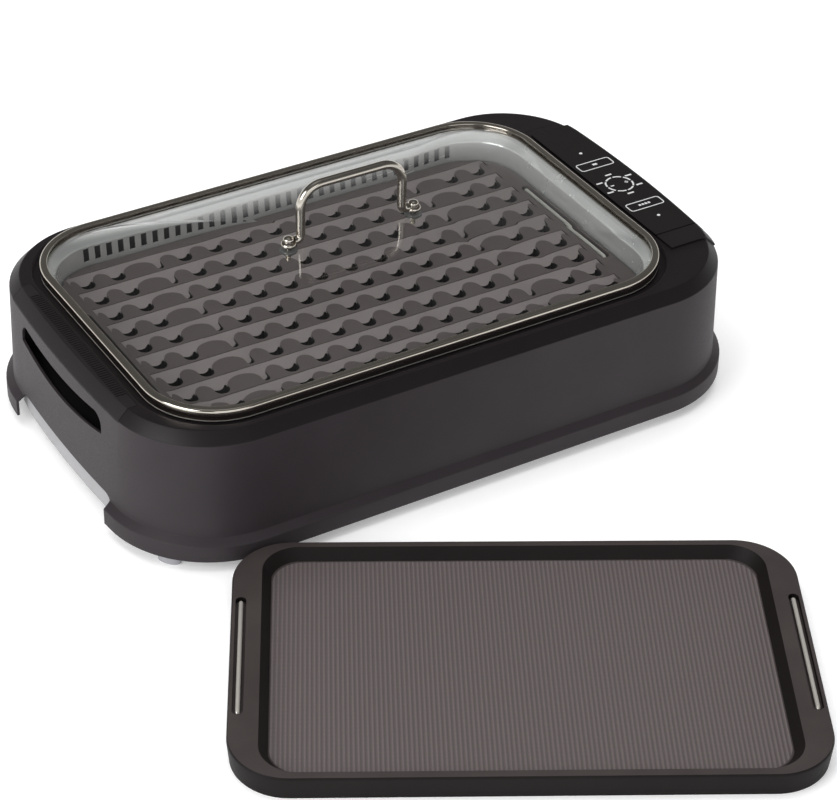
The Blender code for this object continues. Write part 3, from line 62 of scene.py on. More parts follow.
# Half lengths, half widths, corner radii and levels in metres, as the CAD has them. BOW is the
# radius of the housing's bowed ends, GRIDDLE_IN how much smaller the griddle is all round.
HALF_X, HALF_Y, CORNER, BOW = 0.259, 0.1583, 0.079, 1.13
LID_X, LID_Y, LID_CORNER = 0.2171, 0.140, 0.059
TOP, SHOULDER = 0.1132, 0.1047
PLATE_X, PLATE_Y, PLATE_CORNER = 0.203, 0.1259, 0.0449
PLATE_TOP, PLATE_BOTTOM = 0.0902, 0.0720
GRIDDLE_IN = 0.003
GLASS_EDGE = 0.1187

# Half widths of the end pieces, and the gap round each in the housing's top
GRIP_HALF, BEZEL_HALF, PANEL_HALF, PANEL_FRONT = 0.091, 0.105, 0.096, 0.0835
FIT = 0.0004
PANEL_X = 0.2300

# Steps of an outline's corner and of its bowed end
ARC, BOWS = 20, 12


# Node materials

# The band of a noise's values over which a colour or a roughness changes
NOISE_BAND = (0.3, 0.7)


def add_node(owner, kind, **values):
    """A node of a material or of the world, with its inputs and settings by name."""
    node = owner.node_tree.nodes.new(kind)
    for key, value in values.items():
        if key in node.inputs:
            node.inputs[key].default_value = value
        else:
            setattr(node, key, value)
    return node


def link(owner, start, end):
    owner.node_tree.links.new(start, end)


def principled(mat):
    return mat.node_tree.nodes["Principled BSDF"]


def new_material(name, colour, roughness, metallic=0.0, coat=0.0, specular=0.5):
    made = bpy.data.materials.new(name)
    made.use_nodes = True
    inputs = principled(made).inputs
    inputs["Base Color"].default_value = (*colour, 1.0)
    inputs["Roughness"].default_value = roughness
    inputs["Metallic"].default_value = metallic
    inputs["Coat Weight"].default_value = coat
    inputs["Specular IOR Level"].default_value = specular
    return made


def arithmetic(owner, operation, first, second):
    """The result of one sum. Each side is an output of another node, or a number."""
    node = add_node(owner, "ShaderNodeMath", operation=operation)
    for value, end in zip((first, second), node.inputs):
        if isinstance(value, float):
            end.default_value = value
        else:
            link(owner, value, end)
    return node.outputs[0]


def mixed(owner, factor, first, second):
    node = add_node(owner, "ShaderNodeMixShader")
    for start, end in zip((factor, first, second), node.inputs):
        link(owner, start, end)
    return node.outputs["Shader"]


def object_coords(mat, stretch=(1.0, 1.0, 1.0), turn=(0.0, 0.0, 0.0)):
    coords = add_node(mat, "ShaderNodeTexCoord")
    mapping = add_node(mat, "ShaderNodeMapping", Scale=stretch, Rotation=turn)
    link(mat, coords.outputs["Object"], mapping.inputs["Vector"])
    return mapping.outputs["Vector"]


def noise(mat, scale, detail, roughness=0.55, stretch=(1.0, 1.0, 1.0)):
    node = add_node(mat, "ShaderNodeTexNoise", Scale=scale, Detail=detail, Roughness=roughness)
    link(mat, object_coords(mat, stretch), node.inputs["Vector"])
    return node.outputs["Fac"]


def ramp(mat, value, low, high, first, second):
    """Maps a value between low and high to a colour between first and second."""
    node = add_node(mat, "ShaderNodeValToRGB")
    ends = node.color_ramp.elements
    ends[0].position, ends[1].position = low, high
    ends[0].color, ends[1].color = (*first, 1.0), (*second, 1.0)
    link(mat, value, node.inputs["Fac"])
    return node.outputs["Color"]


def spread(mat, value, low, high, first, second):
    """Maps a value between low and high to a number between first and second."""
    node = add_node(mat, "ShaderNodeMapRange", **{"From Min": low, "From Max": high,
                                                  "To Min": first, "To Max": second})
    link(mat, value, node.inputs["Value"])
    return node.outputs["Result"]


def bump(mat, height, strength, distance):
    node = add_node(mat, "ShaderNodeBump", Strength=strength, Distance=distance)
    link(mat, height, node.inputs["Height"])
    link(mat, node.outputs["Normal"], principled(mat).inputs["Normal"])


def tint(mat, value, low, high, colour, darker, lighter):
    """Lets the base colour change with a value between two shares of it."""
    first = [c * darker for c in colour]
    second = [min(1.0, c * lighter) for c in colour]
    link(mat, ramp(mat, value, low, high, first, second), principled(mat).inputs["Base Color"])


def grained(name, colour, roughness, grain, vary, depth=0.00006, coat=0.0, specular=0.5,
            rough_vary=0.08):
    """Moulded plastic or coated metal: a slow drift of colour, a fine grain in the surface."""
    mat = new_material(name, colour, roughness, coat=coat, specular=specular)
    tint(mat, noise(mat, 22.0, 4.0), *NOISE_BAND, colour, 1 - vary, 1 + vary)
    fine = noise(mat, grain, 2.0, 0.6)
    link(mat, spread(mat, fine, *NOISE_BAND, roughness - rough_vary, roughness + rough_vary),
         principled(mat).inputs["Roughness"])
    bump(mat, fine, 0.5, depth)
    return mat


def brushed(name, colour, roughness, stretch, grain=260.0, vary=0.10, depth=0.00002,
            metallic=1.0):
    """Metal with long fine marks along one direction."""
    mat = new_material(name, colour, roughness, metallic)
    marks = noise(mat, grain, 4.0, 0.65, stretch)
    tint(mat, marks, *NOISE_BAND, colour, 1 - vary, 1 + vary)
    link(mat, spread(mat, marks, *NOISE_BAND, roughness * (1 - vary), roughness * (1 + vary)),
         principled(mat).inputs["Roughness"])
    if depth:
        bump(mat, marks, 0.4, depth)
    return mat


def glass_material():
    """Clear glass that lets soft light straight through, with faint handling marks."""
    mat = new_material("lid glass", (0.93, 0.95, 0.95), 0.0)
    shader = principled(mat)
    shader.inputs["Transmission Weight"].default_value = 1.0
    shader.inputs["IOR"].default_value = 1.45
    smear = noise(mat, 14.0, 5.0, 0.6)
    link(mat, spread(mat, smear, 0.45, 0.8, 0.0, 0.012), shader.inputs["Roughness"])
    clear = add_node(mat, "ShaderNodeBsdfTransparent", Color=(0.90, 0.92, 0.92, 1.0))
    path = add_node(mat, "ShaderNodeLightPath")
    straight = arithmetic(mat, "MAXIMUM", path.outputs["Is Shadow Ray"],
                          path.outputs["Is Diffuse Ray"])
    link(mat, mixed(mat, straight, shader.outputs["BSDF"], clear.outputs["BSDF"]),
         mat.node_tree.nodes["Material Output"].inputs["Surface"])
    return mat


def waves(mat, coords, axis, pitch):
    """Sine waves along one axis. The node makes one wave in 2 * pi / 20 at a scale of 1."""
    node = add_node(mat, "ShaderNodeTexWave", wave_type="BANDS", bands_direction=axis,
                    wave_profile="SIN", Scale=2 * pi / pitch / 20)
    link(mat, coords, node.inputs["Vector"])
    return node.outputs["Fac"]


def ribbed_griddle(name, colour):
    """The griddle's well: fine grooves that run across the plate, under the coating."""
    mat = grained(name, colour, 0.46, 700.0, 0.10, 0.00003)
    coords = object_coords(mat, turn=(0.0, 0.0, -GRIDDLE_TURN))
    grooves, cross = waves(mat, coords, "X", 0.0032), waves(mat, coords, "Y", 0.0042)
    ribs = arithmetic(mat, "MULTIPLY", grooves, spread(mat, cross, 0.0, 1.0, 0.85, 1.0))
    bump(mat, ribs, 0.9, 0.0006)
    # The colour follows the grooves: darker in them as painted shade, lighter on the ribs as
    # painted light
    tint(mat, ribs, 0.1, 0.9, colour, 0.78, 1.15)
    return mat


# Grained: colour, roughness, the grain's scale, the colour's change and the bump's depth.
# Brushed: colour, roughness, the marks' stretch and scale, the change, depth and metallic share.
MATS = {
    "charcoal": grained("charcoal plastic", (0.0310, 0.0255, 0.0290), 0.48, 1100.0, 0.08,
                        0.00002, specular=0.25),
    # The housing's top and chamfer: the charcoal plastic again, darker as painted shade
    "top painted shade": grained("housing top painted shade", (0.009, 0.007, 0.008), 0.42, 1100.0, 0.08, 0.00002,
                         specular=0.25),
    "grip": grained("grip plastic", (0.011, 0.009, 0.010), 0.50, 1300.0, 0.10, 0.00002,
                    specular=0.35),
    "bezel": grained("bezel plastic", (0.008, 0.006, 0.007), 0.46, 1300.0, 0.10, 0.00002,
                     specular=0.3),
    "panel": grained("panel gloss", (0.006, 0.005, 0.005), 0.16, 500.0, 0.10, 0.000004,
                     coat=0.3, specular=0.4, rough_vary=0.03),
    "pan": grained("pan plastic", (0.35, 0.345, 0.355), 0.48, 900.0, 0.05, 0.00002),
    "feet": grained("feet rubber", (0.34, 0.34, 0.36), 0.70, 700.0, 0.08),
    # Dark plastic of the inner parts; also painted shade on the liner's rim edge and in the drain
    # slots
    "inner": grained("inner plastic and painted shade", (0.006, 0.005, 0.005), 0.60, 900.0, 0.10, 0.00002,
                     specular=0.2),
    "plate": grained("grill coating", (0.080, 0.064, 0.062), 0.46, 1500.0, 0.05, 0.00002,
                     specular=0.3, rough_vary=0.04),
    # A lighter copy of the grill coating for the channels' floors: painted light
    "channel": grained("channel painted light", (0.190, 0.160, 0.156), 0.40, 1500.0, 0.05, 0.00002,
                       specular=0.3, rough_vary=0.04),
    # A darker copy for the channels' upright walls: painted shade
    "flank": grained("channel flank painted shade", (0.020, 0.016, 0.016), 0.50, 1500.0, 0.05, 0.00002,
                     specular=0.2, rough_vary=0.04),
    "griddle": grained("griddle coating", (0.042, 0.034, 0.033), 0.46, 1500.0, 0.14, 0.00006,
                       specular=0.35),
    # A darker copy of the griddle coating for its sides and slopes: painted shade
    "griddle side painted shade": grained("griddle side painted shade", (0.009, 0.007, 0.007), 0.50, 1500.0, 0.10, 0.00004,
                            specular=0.15),
    "well": ribbed_griddle("griddle well", (0.110, 0.092, 0.091)),
    "liner": brushed("liner metal", (0.84, 0.825, 0.805), 0.27, (0.05, 1.0, 1.0), 60.0, 0.02,
                     0.0, 0.70),
    "steel": brushed("polished steel", (0.68, 0.63, 0.56), 0.13, (0.2, 1.0, 1.0), 120.0, 0.02,
                     0.0000005),
    # A lighter, part-metal copy of the polished steel for the bails: painted light
    "wire": brushed("bail wire painted light", (0.80, 0.76, 0.70), 0.30, (0.2, 1.0, 1.0), 120.0, 0.02,
                    0.0000005, 0.7),
    # A darker copy of the polished steel for the handle: painted shade
    "handle": brushed("handle steel painted shade", (0.62, 0.58, 0.52), 0.15, (0.2, 1.0, 1.0), 120.0, 0.02,
                      0.0000005),
    "element": brushed("element tube", (0.13, 0.13, 0.14), 0.36, (1.0, 0.1, 1.0)),
    "brass": brushed("contact brass", (0.62, 0.45, 0.16), 0.28, (1.0, 0.1, 1.0)),
    "silicone": grained("silicone", (0.10, 0.10, 0.10), 0.62, 700.0, 0.10),
    "board": grained("board", (0.012, 0.080, 0.035), 0.45, 300.0, 0.25),
    "print": grained("white print", (0.62, 0.62, 0.62), 0.45, 800.0, 0.03, 0.000002),
    "glass": glass_material(),
}


# Outlines and rings

def quarter(half_x, half_y, corner, bow, arc, bows):
    corner_x, corner_y, lean = half_x - corner, half_y - corner, 0.0
    end = [(half_x, corner_y * i / bows) for i in range(bows)]
    if bow:
        bow_x = half_x - bow
        corner_x = bow_x + sqrt((bow - corner) ** 2 - corner_y ** 2)
        lean = atan2(corner_y, corner_x - bow_x)
        end = [(bow_x + bow * cos(lean * i / bows), bow * sin(lean * i / bows))
               for i in range(bows)]
    turns = [lean + (pi / 2 - lean) * i / arc for i in range(arc + 1)]
    return end + [(corner_x + corner * cos(a), corner_y + corner * sin(a)) for a in turns]


def outline(half_x, half_y, corner, bow=None, arc=ARC, bows=BOWS):
    """A rounded rectangle round the origin, with bowed ends where a bow's radius is given."""
    q = quarter(half_x, half_y, corner, bow, arc, bows)
    return (q + [(-x, y) for x, y in reversed(q)] + [(-x, -y) for x, y in q[1:]]
            + [(x, -y) for x, y in reversed(q[1:])])


def at_level(flat, z, shift=0.0):
    return [(x + shift, y, z) for x, y in flat]


def body_ring(out, z):
    return at_level(outline(HALF_X + out, HALF_Y + out, CORNER + out, BOW + out), z)


def bay_ring(out, z, shift=0.0):
    return at_level(outline(LID_X + out, LID_Y + out, LID_CORNER + out), z, shift)


def plate_ring(inset, z):
    return at_level(outline(PLATE_X - inset, PLATE_Y - inset, PLATE_CORNER - inset), z)


def circle(x0, y0, radius, count):
    turns = [2 * pi * i / count for i in range(count)]
    return [(x0 + radius * cos(a), y0 + radius * sin(a)) for a in turns]


def rounded(points, radii, steps=5):
    """A polyline of pairs whose inner corners are swapped for arcs of the given radii."""
    path = [points[0]]
    for before, corner, after, r in zip(points, points[1:], points[2:], radii):
        if not r:
            path.append(corner)
            continue
        c = Vector(corner)
        u, v = (Vector(before) - c), (Vector(after) - c)
        half = u.angle(v) / 2
        reach = min(r / max(1e-6, sin(half) / cos(half)), 0.45 * u.length, 0.45 * v.length)
        r = reach * sin(half) / cos(half)
        u, v = u.normalized(), v.normalized()
        centre = c + (u + v).normalized() * r / sin(half)
        a, b = c + u * reach - centre, c + v * reach - centre
        turn = a.angle_signed(b)
        for i in range(steps + 1):
            t = -turn * i / steps
            path.append((centre.x + a.x * cos(t) - a.y * sin(t),
                         centre.y + a.x * sin(t) + a.y * cos(t)))
    path.append(points[-1])
    return path


def path3(points, bend, steps):
    """A line through points in space whose inner corners are swapped for arcs."""
    path = [Vector(points[0])]
    for before, corner, after in zip(points, points[1:], points[2:]):
        corner = Vector(corner)
        u = (Vector(before) - corner).normalized()
        v = (Vector(after) - corner).normalized()
        half = u.angle(v) / 2
        centre = corner + (u + v).normalized() * bend / sin(half)
        reach = bend * cos(half) / sin(half)
        a, b = corner + u * reach - centre, corner + v * reach - centre
        path += [centre + a.slerp(b, i / steps) * bend for i in range(steps + 1)]
    return path + [Vector(points[-1])]


# Blocks and skins

def add_band(bm, a, b):
    """A band of faces between two loops of vertices."""
    for i in range(len(a)):
        j = (i + 1) % len(a)
        bm.faces.new((a[i], a[j], b[j], b[i]))


def loft(rings, first=False, last=False, closed=False):
    """A skin over rings. The ends stay open, get faces, or are joined to each other."""
    bm = bmesh.new()
    loops = [[bm.verts.new(p) for p in ring] for ring in rings]
    for a, b in zip(loops, loops[1:]):
        add_band(bm, a, b)
    if closed:
        add_band(bm, loops[-1], loops[0])
    if first:
        bm.faces.new(list(reversed(loops[0])))
    if last:
        bm.faces.new(loops[-1])
    return bm


def block(rings):
    bm = loft(rings, first=True, last=True)
    bmesh.ops.recalc_face_normals(bm, faces=bm.faces[:])
    return bm


def end_block(flat, reach=0.30):
    """An outline in Y and Z run through both ends."""
    return block([[(x, y, z) for y, z in flat] for x in (-reach, reach)])


def prism(outlines, low, high):
    """Closed blocks over flat outlines, between high and low. low may be a function of (x, y)."""
    bm = bmesh.new()
    for flat in outlines:
        foot = [bm.verts.new((x, y, low(x, y) if callable(low) else low)) for x, y in flat]
        head = [bm.verts.new((x, y, high)) for x, y in flat]
        add_band(bm, foot, head)
        bm.faces.new(list(reversed(foot)))
        bm.faces.new(head)
    bmesh.ops.recalc_face_normals(bm, faces=bm.faces[:])
    return bm


def boxes(*pairs):
    """Blocks, each between two corners."""
    bm = bmesh.new()
    for low, high in pairs:
        low, high = Vector(low), Vector(high)
        matrix = Matrix.Translation((low + high) / 2) @ Matrix.Diagonal((*(high - low), 1.0))
        bmesh.ops.create_cube(bm, size=1.0, matrix=matrix)
    return bm


# Pieces

def add_object(name, data):
    made = bpy.data.objects.new(name, data)
    bpy.context.scene.collection.objects.link(made)
    return made


def mesh_object(name, bm, matrix, *mats):
    mesh = bpy.data.meshes.new(name)
    bm.to_mesh(mesh)
    bm.free()
    mesh.transform(matrix)
    for mat in mats:
        mesh.materials.append(MATS[mat])
    return add_object(name, mesh)


def evaluated_mesh(made, *tools):
    """What an object's modifiers or its bevel make of it. It and its tools are taken away."""
    bpy.context.view_layer.update()
    mesh = bpy.data.meshes.new_from_object(
        made.evaluated_get(bpy.context.evaluated_depsgraph_get()))
    for old in (made, *tools):
        bpy.data.objects.remove(old, do_unlink=True)
    return mesh


def smooth(made, angle):
    """Shades a piece smooth, but for edges that turn by more than the angle in degrees."""
    made.data.shade_smooth()
    made.data.set_sharp_from_angle(angle=radians(angle))
    return made


def minus(tool, *mats):
    """A cutter for solid(). With a material it colours the faces that it cuts."""
    return "DIFFERENCE", tool, mats


def common(tool):
    return "INTERSECT", tool, ()


def solid(name, bm, mats, matrix, wall=None, cuts=(), angle=32.0):
    """A finished piece: an open skin gets its wall, then the cutters are taken from it."""
    if wall is None:
        bmesh.ops.recalc_face_normals(bm, faces=bm.faces[:])
    made = mesh_object("tool", bm, matrix, *mats)
    if wall:
        thick = made.modifiers.new("wall", "SOLIDIFY")
        thick.thickness = wall
        thick.offset = -1.0
        thick.use_even_offset = True
    tools = []
    for operation, tool, cut_mats in cuts:
        tools.append(mesh_object("tool", tool, matrix, *cut_mats))
        boolean = made.modifiers.new("cut", "BOOLEAN")
        boolean.object = tools[-1]
        boolean.operation = operation
        boolean.solver = "EXACT"
        boolean.material_mode = "TRANSFER" if cut_mats else "INDEX"
    mesh = evaluated_mesh(made, *tools)
    mesh.name = name
    return smooth(add_object(name, mesh), angle)


def skin(name, bm, mat, matrix, angle=32.0):
    """A finished piece that needs no cutters."""
    bmesh.ops.recalc_face_normals(bm, faces=bm.faces[:])
    return smooth(mesh_object(name, bm, matrix, mat), angle)


def wire(name, path, radius, mat, matrix, fineness=5):
    curve = bpy.data.curves.new(name, "CURVE")
    curve.dimensions = "3D"
    curve.bevel_depth = radius
    curve.bevel_resolution = fineness
    curve.use_fill_caps = True
    spline = curve.splines.new("POLY")
    spline.points.add(len(path) - 1)
    for point, spot in zip(spline.points, path):
        point.co = (*(matrix @ Vector(spot)), 1.0)
    mesh = evaluated_mesh(add_object(name, curve))
    mesh.materials.append(MATS[mat])
    return smooth(add_object(name, mesh), 40.0)


def lathe(name, profile, mat, matrix, sides=40):
    """A profile of (radius, z) turned round Z. Off the axis it closes on itself."""
    bm = bmesh.new()
    rings = []
    for r, z in profile:
        flat = circle(0.0, 0.0, r, sides) if r else [(0.0, 0.0)]
        rings.append([bm.verts.new(p) for p in at_level(flat, z)])
    pairs = list(zip(rings, rings[1:]))
    if profile[0][0] > 0.0:
        pairs.append((rings[-1], rings[0]))
    for a, b in pairs:
        for i in range(sides):
            j = (i + 1) % sides
            if len(a) == 1:
                bm.faces.new((a[0], b[i], b[j]))
            elif len(b) == 1:
                bm.faces.new((a[i], a[j], b[0]))
            else:
                bm.faces.new((a[i], a[j], b[j], b[i]))
    return skin(name, bm, mat, matrix)


def stand_for(piece, body, *nodes, slot):
    """Puts a piece on a body of the frame, in place of CAD nodes where any are named."""
    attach(piece, body)
    if nodes:
        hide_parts(*nodes)


# Camera

def place_camera():
    """Fitted to the outlines of rim, shoulder and skirt, at an offset in the lid's half widths."""
    azimuth, elevation, roll = radians(-31.596), radians(35.211), radians(1.295)
    focal_pixels, picture_width = 2669.1, 837
    back = Vector((sin(azimuth) * cos(elevation), -cos(azimuth) * cos(elevation),
                   sin(elevation)))
    right = Vector((0.0, 0.0, 1.0)).cross(back).normalized()
    up = back.cross(right)
    turned_right = cos(roll) * right + sin(roll) * up
    turned_up = -sin(roll) * right + cos(roll) * up
    rim = BAY @ Vector((0.0, 0.0, 0.1172))
    offset = Vector((-0.366, 0.777, -14.557)) * LID_Y
    spot = rim - turned_right * offset.x - turned_up * offset.y - back * offset.z
    data = bpy.data.cameras.new("camera")
    data.sensor_fit = "HORIZONTAL"
    data.sensor_width = 36.0
    data.lens = focal_pixels / picture_width * 36.0
    data.clip_start = 0.05
    data.clip_end = 50.0
    camera = add_object("camera", data)
    turn = Matrix((turned_right, turned_up, back)).transposed().to_4x4()
    camera.matrix_world = Matrix.Translation(spot) @ turn
    bpy.context.scene.camera = camera


# Housing and end pieces

def arch_flat():
    """The finger arch in Y and Z, open downwards."""
    half, high, r = 0.0772, 0.030, 0.0085
    turns = [pi / 2 * i / 10 for i in range(11)]
    right = [(half - r + r * cos(a), high - r + r * sin(a)) for a in turns]
    return [(half, -0.01)] + right + [(-y, z) for y, z in reversed(right)] + [(-half, -0.01)]


def slot_flat():
    """The carrying slot in Y and Z: its crown and foot rise to both ends."""
    steps, centre_y, crown_z, foot_z = 16, 0.003, 0.0908, 0.0712
    shares = [i / steps for i in range(1, steps)]
    crown = [(0.059 * s, crown_z + 0.0037 * s ** 2) for s in shares]
    turns = [pi / 2 * i / steps for i in range(steps + 1)]
    shoulder = [(0.059 + 0.010 * sin(a), 0.0850 + 0.0095 * cos(a)) for a in turns]
    foot = [(0.069 * s, foot_z + 0.0080 * s ** 2) for s in [1.0] + shares[::-1]]
    right = crown + shoulder + foot
    flat = [(0.0, crown_z)] + right + [(0.0, foot_z)] + [(-y, z) for y, z in reversed(right)]
    return [(centre_y + y, z) for y, z in flat]


def top_profile(lift):
    """The housing's edge over its chamfer, offset outwards and square to each face."""
    return [(lift, 0.1017), (lift, SHOULDER + 0.396 * lift), (0.432 * lift - 0.008, TOP + lift),
            (-0.0104, TOP + lift)]


def housing_rings():
    """Outer wall, top, groove for the lid and inner wall, as one closed section."""
    outer = rounded([(0.008, 0.0085), (0.008, 0.0217), (0.002, 0.0261), (0.0, SHOULDER),
                     (-0.008, TOP), (-0.0105, TOP)], [0.0016, 0.0008, 0.0018, 0.0016])
    lip = rounded([(0.0075, TOP), (0.006, TOP), (0.0055, 0.1100), (-0.004, 0.1100),
                   (-0.004, 0.1045)], [0.0006, 0.0, 0.0006], 3)
    back = [(-0.002, 0.1045), (-0.002, 0.1080), (0.0075, 0.1080), (0.008, 0.1112)]
    inner = [(-0.0088, 0.1112), (-0.002, 0.1039), (0.0, 0.0251), (0.006, 0.0207),
             (0.006, 0.0085)]
    rings = [body_ring(out, z) for out, z in outer]
    rings += [bay_ring(out, z, SHIFT) for out, z in lip + back]
    return rings + [body_ring(out, z) for out, z in inner]


def window(side, half, gap, front=None):
    """Two corners of the block that an end piece fills at the left (-1) or right (1) end."""
    inner = LID_X + 0.008 + gap + side * SHIFT
    xs = sorted((side * inner, side * 0.30))
    return (xs[0], gap - (front or half), 0.1037 + gap), (xs[1], half - gap, 0.13)


def make_housing():
    x, z, half_x, half_z = 0.155, 0.062, 0.0173, 0.0133
    inlet = ((x - half_x, 0.14, z - half_z), (x + half_x, 0.18, z + half_z))
    cuts = [minus(end_block(arch_flat())), minus(end_block(slot_flat())),
            minus(boxes(window(-1, GRIP_HALF, 0.0), window(1, BEZEL_HALF, 0.0))),
            minus(boxes(inlet))]
    made = solid("housing_shell", loft(housing_rings(), closed=True), ["charcoal", "top painted shade"],
                 BODY, cuts=cuts)
    # Faces on the top and the chamfer get painted shade: a darker copy of the housing's plastic
    for face in made.data.polygons:
        if face.center.z > SHOULDER - 0.001 and face.normal.z > 0.3:
            face.material_index = 1
    stand_for(made, "base", "outer_housing", slot="housing")


def end_skin(low, high):
    """The housing's top as a closed skin between two offsets."""
    over, under = ([body_ring(out, z) for out, z in rounded(top_profile(lift), [0.0018, 0.0016])]
                   for lift in (high, low))
    rims = [bay_ring(0.0078, TOP + high, SHIFT), bay_ring(0.0078, TOP + low, SHIFT)]
    return loft(over + rims + under[::-1], closed=True)


def make_grip():
    count, length = 54, 0.150
    pitch = length / count
    grooves = []
    for i in range(count):
        y = (i + 0.5) * pitch - length / 2
        grooves.append(((-0.2478, y - 0.0006, TOP - 0.0006), (-0.2372, y + 0.0006, 0.13)))
    cuts = [common(boxes(window(-1, GRIP_HALF, FIT))), minus(boxes(*grooves))]
    made = solid("grip_shell", end_skin(-0.0022, 0.0), ["grip"], BODY, cuts=cuts)
    stand_for(made, "base", "grip_insert", slot="grip")


def make_panel():
    bezel = solid("bezel_shell", end_skin(-0.0022, 0.0), ["bezel"], BODY,
                  cuts=[common(boxes(window(1, BEZEL_HALF, FIT)))])
    stand_for(bezel, "base", "panel_bezel", slot="grip")
    (low_x, _, low_z), (high_x, _, high_z) = window(1, BEZEL_HALF, FIT)
    strip = ((low_x, FIT - BEZEL_HALF, low_z), (high_x, -0.0838, high_z))
    raised = solid("bezel_front", end_skin(0.0, 0.0014), ["bezel"], BODY,
                   cuts=[common(boxes(strip))])
    stand_for(raised, "base", slot="grip")
    lens_holes = [circle(PANEL_X, y, 0.0017, 24) for y in (0.0506, -0.0599)]
    panel = solid("panel_glass", end_skin(0.0003, 0.0017), ["panel"], BODY,
                  cuts=[common(boxes(window(1, PANEL_HALF, 0.0003, PANEL_FRONT))),
                        minus(prism(lens_holes, TOP - 0.01, TOP + 0.01))])
    stand_for(panel, "base", "touch_panel", slot="panel")


def ring_flat(radius, width, start, end, steps, x0, y0):
    """A piece of a flat ring between two angles."""
    turns = [start + (end - start) * i / steps for i in range(steps + 1)]
    outer = [(x0 + radius * cos(a), y0 + radius * sin(a)) for a in turns]
    inner = [(x0 + (radius - width) * cos(a), y0 + (radius - width) * sin(a))
             for a in reversed(turns)]
    return outer + inner


def bar_flat(x0, y0, length, width):
    half_l, half_w = length / 2, width / 2
    return [(x0 + x, y0 + y) for x, y in ((half_l, -half_w), (half_l, half_w), (-half_l, half_w),
                                          (-half_l, -half_w))]


def outline_flats(x0, y0, half_x, half_y, corner, width):
    """A line round a rounded rectangle, in two halves."""
    outer = outline(half_x, half_y, corner, None, 6, 1)
    inner = outline(half_x - width, half_y - width, corner - width, None, 6, 1)
    half = len(outer) // 2
    flats = []
    for part in (range(half + 1), range(half, len(outer) + 1)):
        turns = [i % len(outer) for i in part]
        flats.append([(outer[i][0] + x0, outer[i][1] + y0) for i in turns]
                     + [(inner[i][0] + x0, inner[i][1] + y0) for i in reversed(turns)])
    return flats


def make_marks():
    """White touch marks: a dial of dashes with six bars, two long keys with a sign in each."""
    dial_y, flats = -0.0053, []
    for i in range(8):
        a = 2 * pi * i / 8
        flats.append(ring_flat(0.0118, 0.0014, a + 0.07, a + 2 * pi / 8 - 0.07, 8, PANEL_X,
                               dial_y))
    for i in range(6):
        a = 2 * pi * i / 6 + pi / 6
        flats.append(bar_flat(PANEL_X + 0.0160 * cos(a), dial_y + 0.0160 * sin(a), 0.0058,
                              0.0017))
    for side in (-1, 1):
        flats.append(bar_flat(PANEL_X + side * 0.0067, dial_y, 0.0030, 0.0013))
    flats.append(bar_flat(PANEL_X + 0.0067, dial_y, 0.0013, 0.0030))
    for key_y in (0.0299, -0.0408):
        flats += outline_flats(PANEL_X, key_y, 0.0160, 0.0058, 0.0028, 0.0009)
    flats.append(bar_flat(PANEL_X, 0.0302, 0.0042, 0.0024))
    for i in range(4):
        flats.append(bar_flat(0.2298 + (i - 1.5) * 0.0029, -0.0405, 0.0020, 0.0022))
    made = mesh_object("panel_marks", prism(flats, TOP + 0.0015, TOP + 0.00185), BODY, "print")
    stand_for(made, "base", slot="indicator")


# Liner

def make_liner():
    """The tub from its rim down to the well, with rows of air slots and the socket's notch."""
    profile = rounded([(-0.0005, 0.1115), (-0.0065, 0.1115), (-0.012, 0.1052),
                       (-0.0130, 0.0925), (-0.0135, 0.0717), (-0.023, 0.0717),
                       (-0.027, 0.0435), (-0.030, 0.0405), (-0.034, 0.0405)],
                      [0.0025, 0.0030, 0.0, 0.0, 0.0012, 0.0015, 0.002])
    slots = []
    for i in range(34):
        x = (i - 16.5) * 0.0099
        for near, far in ((-0.14, -0.115), (0.115, 0.14)):
            slots.append(((x - 0.0024, near, 0.0925), (x + 0.0024, far, 0.1035)))
    notch = ((0.177, -0.0265, 0.0588), (0.20357, 0.0265, 0.0720))
    rings = [bay_ring(out, z) for out, z in profile]
    made = solid("liner_shell", loft(rings, last=True), ["liner", "inner"], BAY, 0.0012,
                 cuts=[minus(boxes(*slots)), minus(boxes(notch))])
    # The rim's outer edge lies in the housing's shade, which is painted on it: the near-black
    # inner material
    for face in made.data.polygons:
        if face.center.z > 0.1098 and abs(face.normal.z) < 0.5:
            face.material_index = 1
    stand_for(made, "base", "inner_liner", slot="liner")


# Plates: rows of channels, each from its back edge to lobes and valleys in front

ROWS, PITCH, FIELD = 9, 0.0246, 0.376
LAND, LOBE = 0.0023, 0.0095
VALLEYS = (-0.9335, -0.798, -0.6144, -0.4934, -0.3524, -0.2114, -0.0705,
           0.0705, 0.2114, 0.3524, 0.4934, 0.6144, 0.798, 0.9335)
NARROW_SHARE, NARROW_RADIUS, VALLEY_RADIUS = 0.6144, 0.003, 0.00575

# The bails' bars: how far they lie from a plate's end, and where their legs go down
BAR_IN, LEG_Y = 0.0068, 0.0575


def row_backs():
    first = PITCH * ROWS / 2 + 0.004
    return [first - i * PITCH for i in range(ROWS)]


def valley_radius(share):
    return NARROW_RADIUS if abs(share) == NARROW_SHARE else VALLEY_RADIUS


def channel_flat(back_y):
    half, steps = FIELD / 2, 10
    lobe_top, valley_y = back_y - 0.0058, back_y - PITCH + LAND
    valleys = [(share * half, valley_radius(share)) for share in VALLEYS]
    starts = [-half] + [x + r for x, r in valleys]
    ends = [x - r for x, r in valleys] + [half]
    foot = lobe_top - LOBE
    points = [(half, back_y), (-half, back_y)]
    for i, (start, end) in enumerate(zip(starts, ends)):
        middle, reach = (start + end) / 2, (end - start) / 2
        points += [(middle - reach * cos(pi * k / steps), foot + LOBE * sin(pi * k / steps))
                   for k in range(steps + 1)]
        if i < len(valleys):
            x, r = valleys[i]
            points += [(x - r * cos(pi * k / steps), valley_y + r - r * sin(pi * k / steps))
                       for k in range(steps + 1)]
    return points


def channel_floor(back_y):
    """The floor's level, which falls towards the valleys."""
    def level(x, y):
        return PLATE_TOP - 0.0005 - 0.0025 * max(0.0, (back_y - y)) / (PITCH - LAND)
    return level


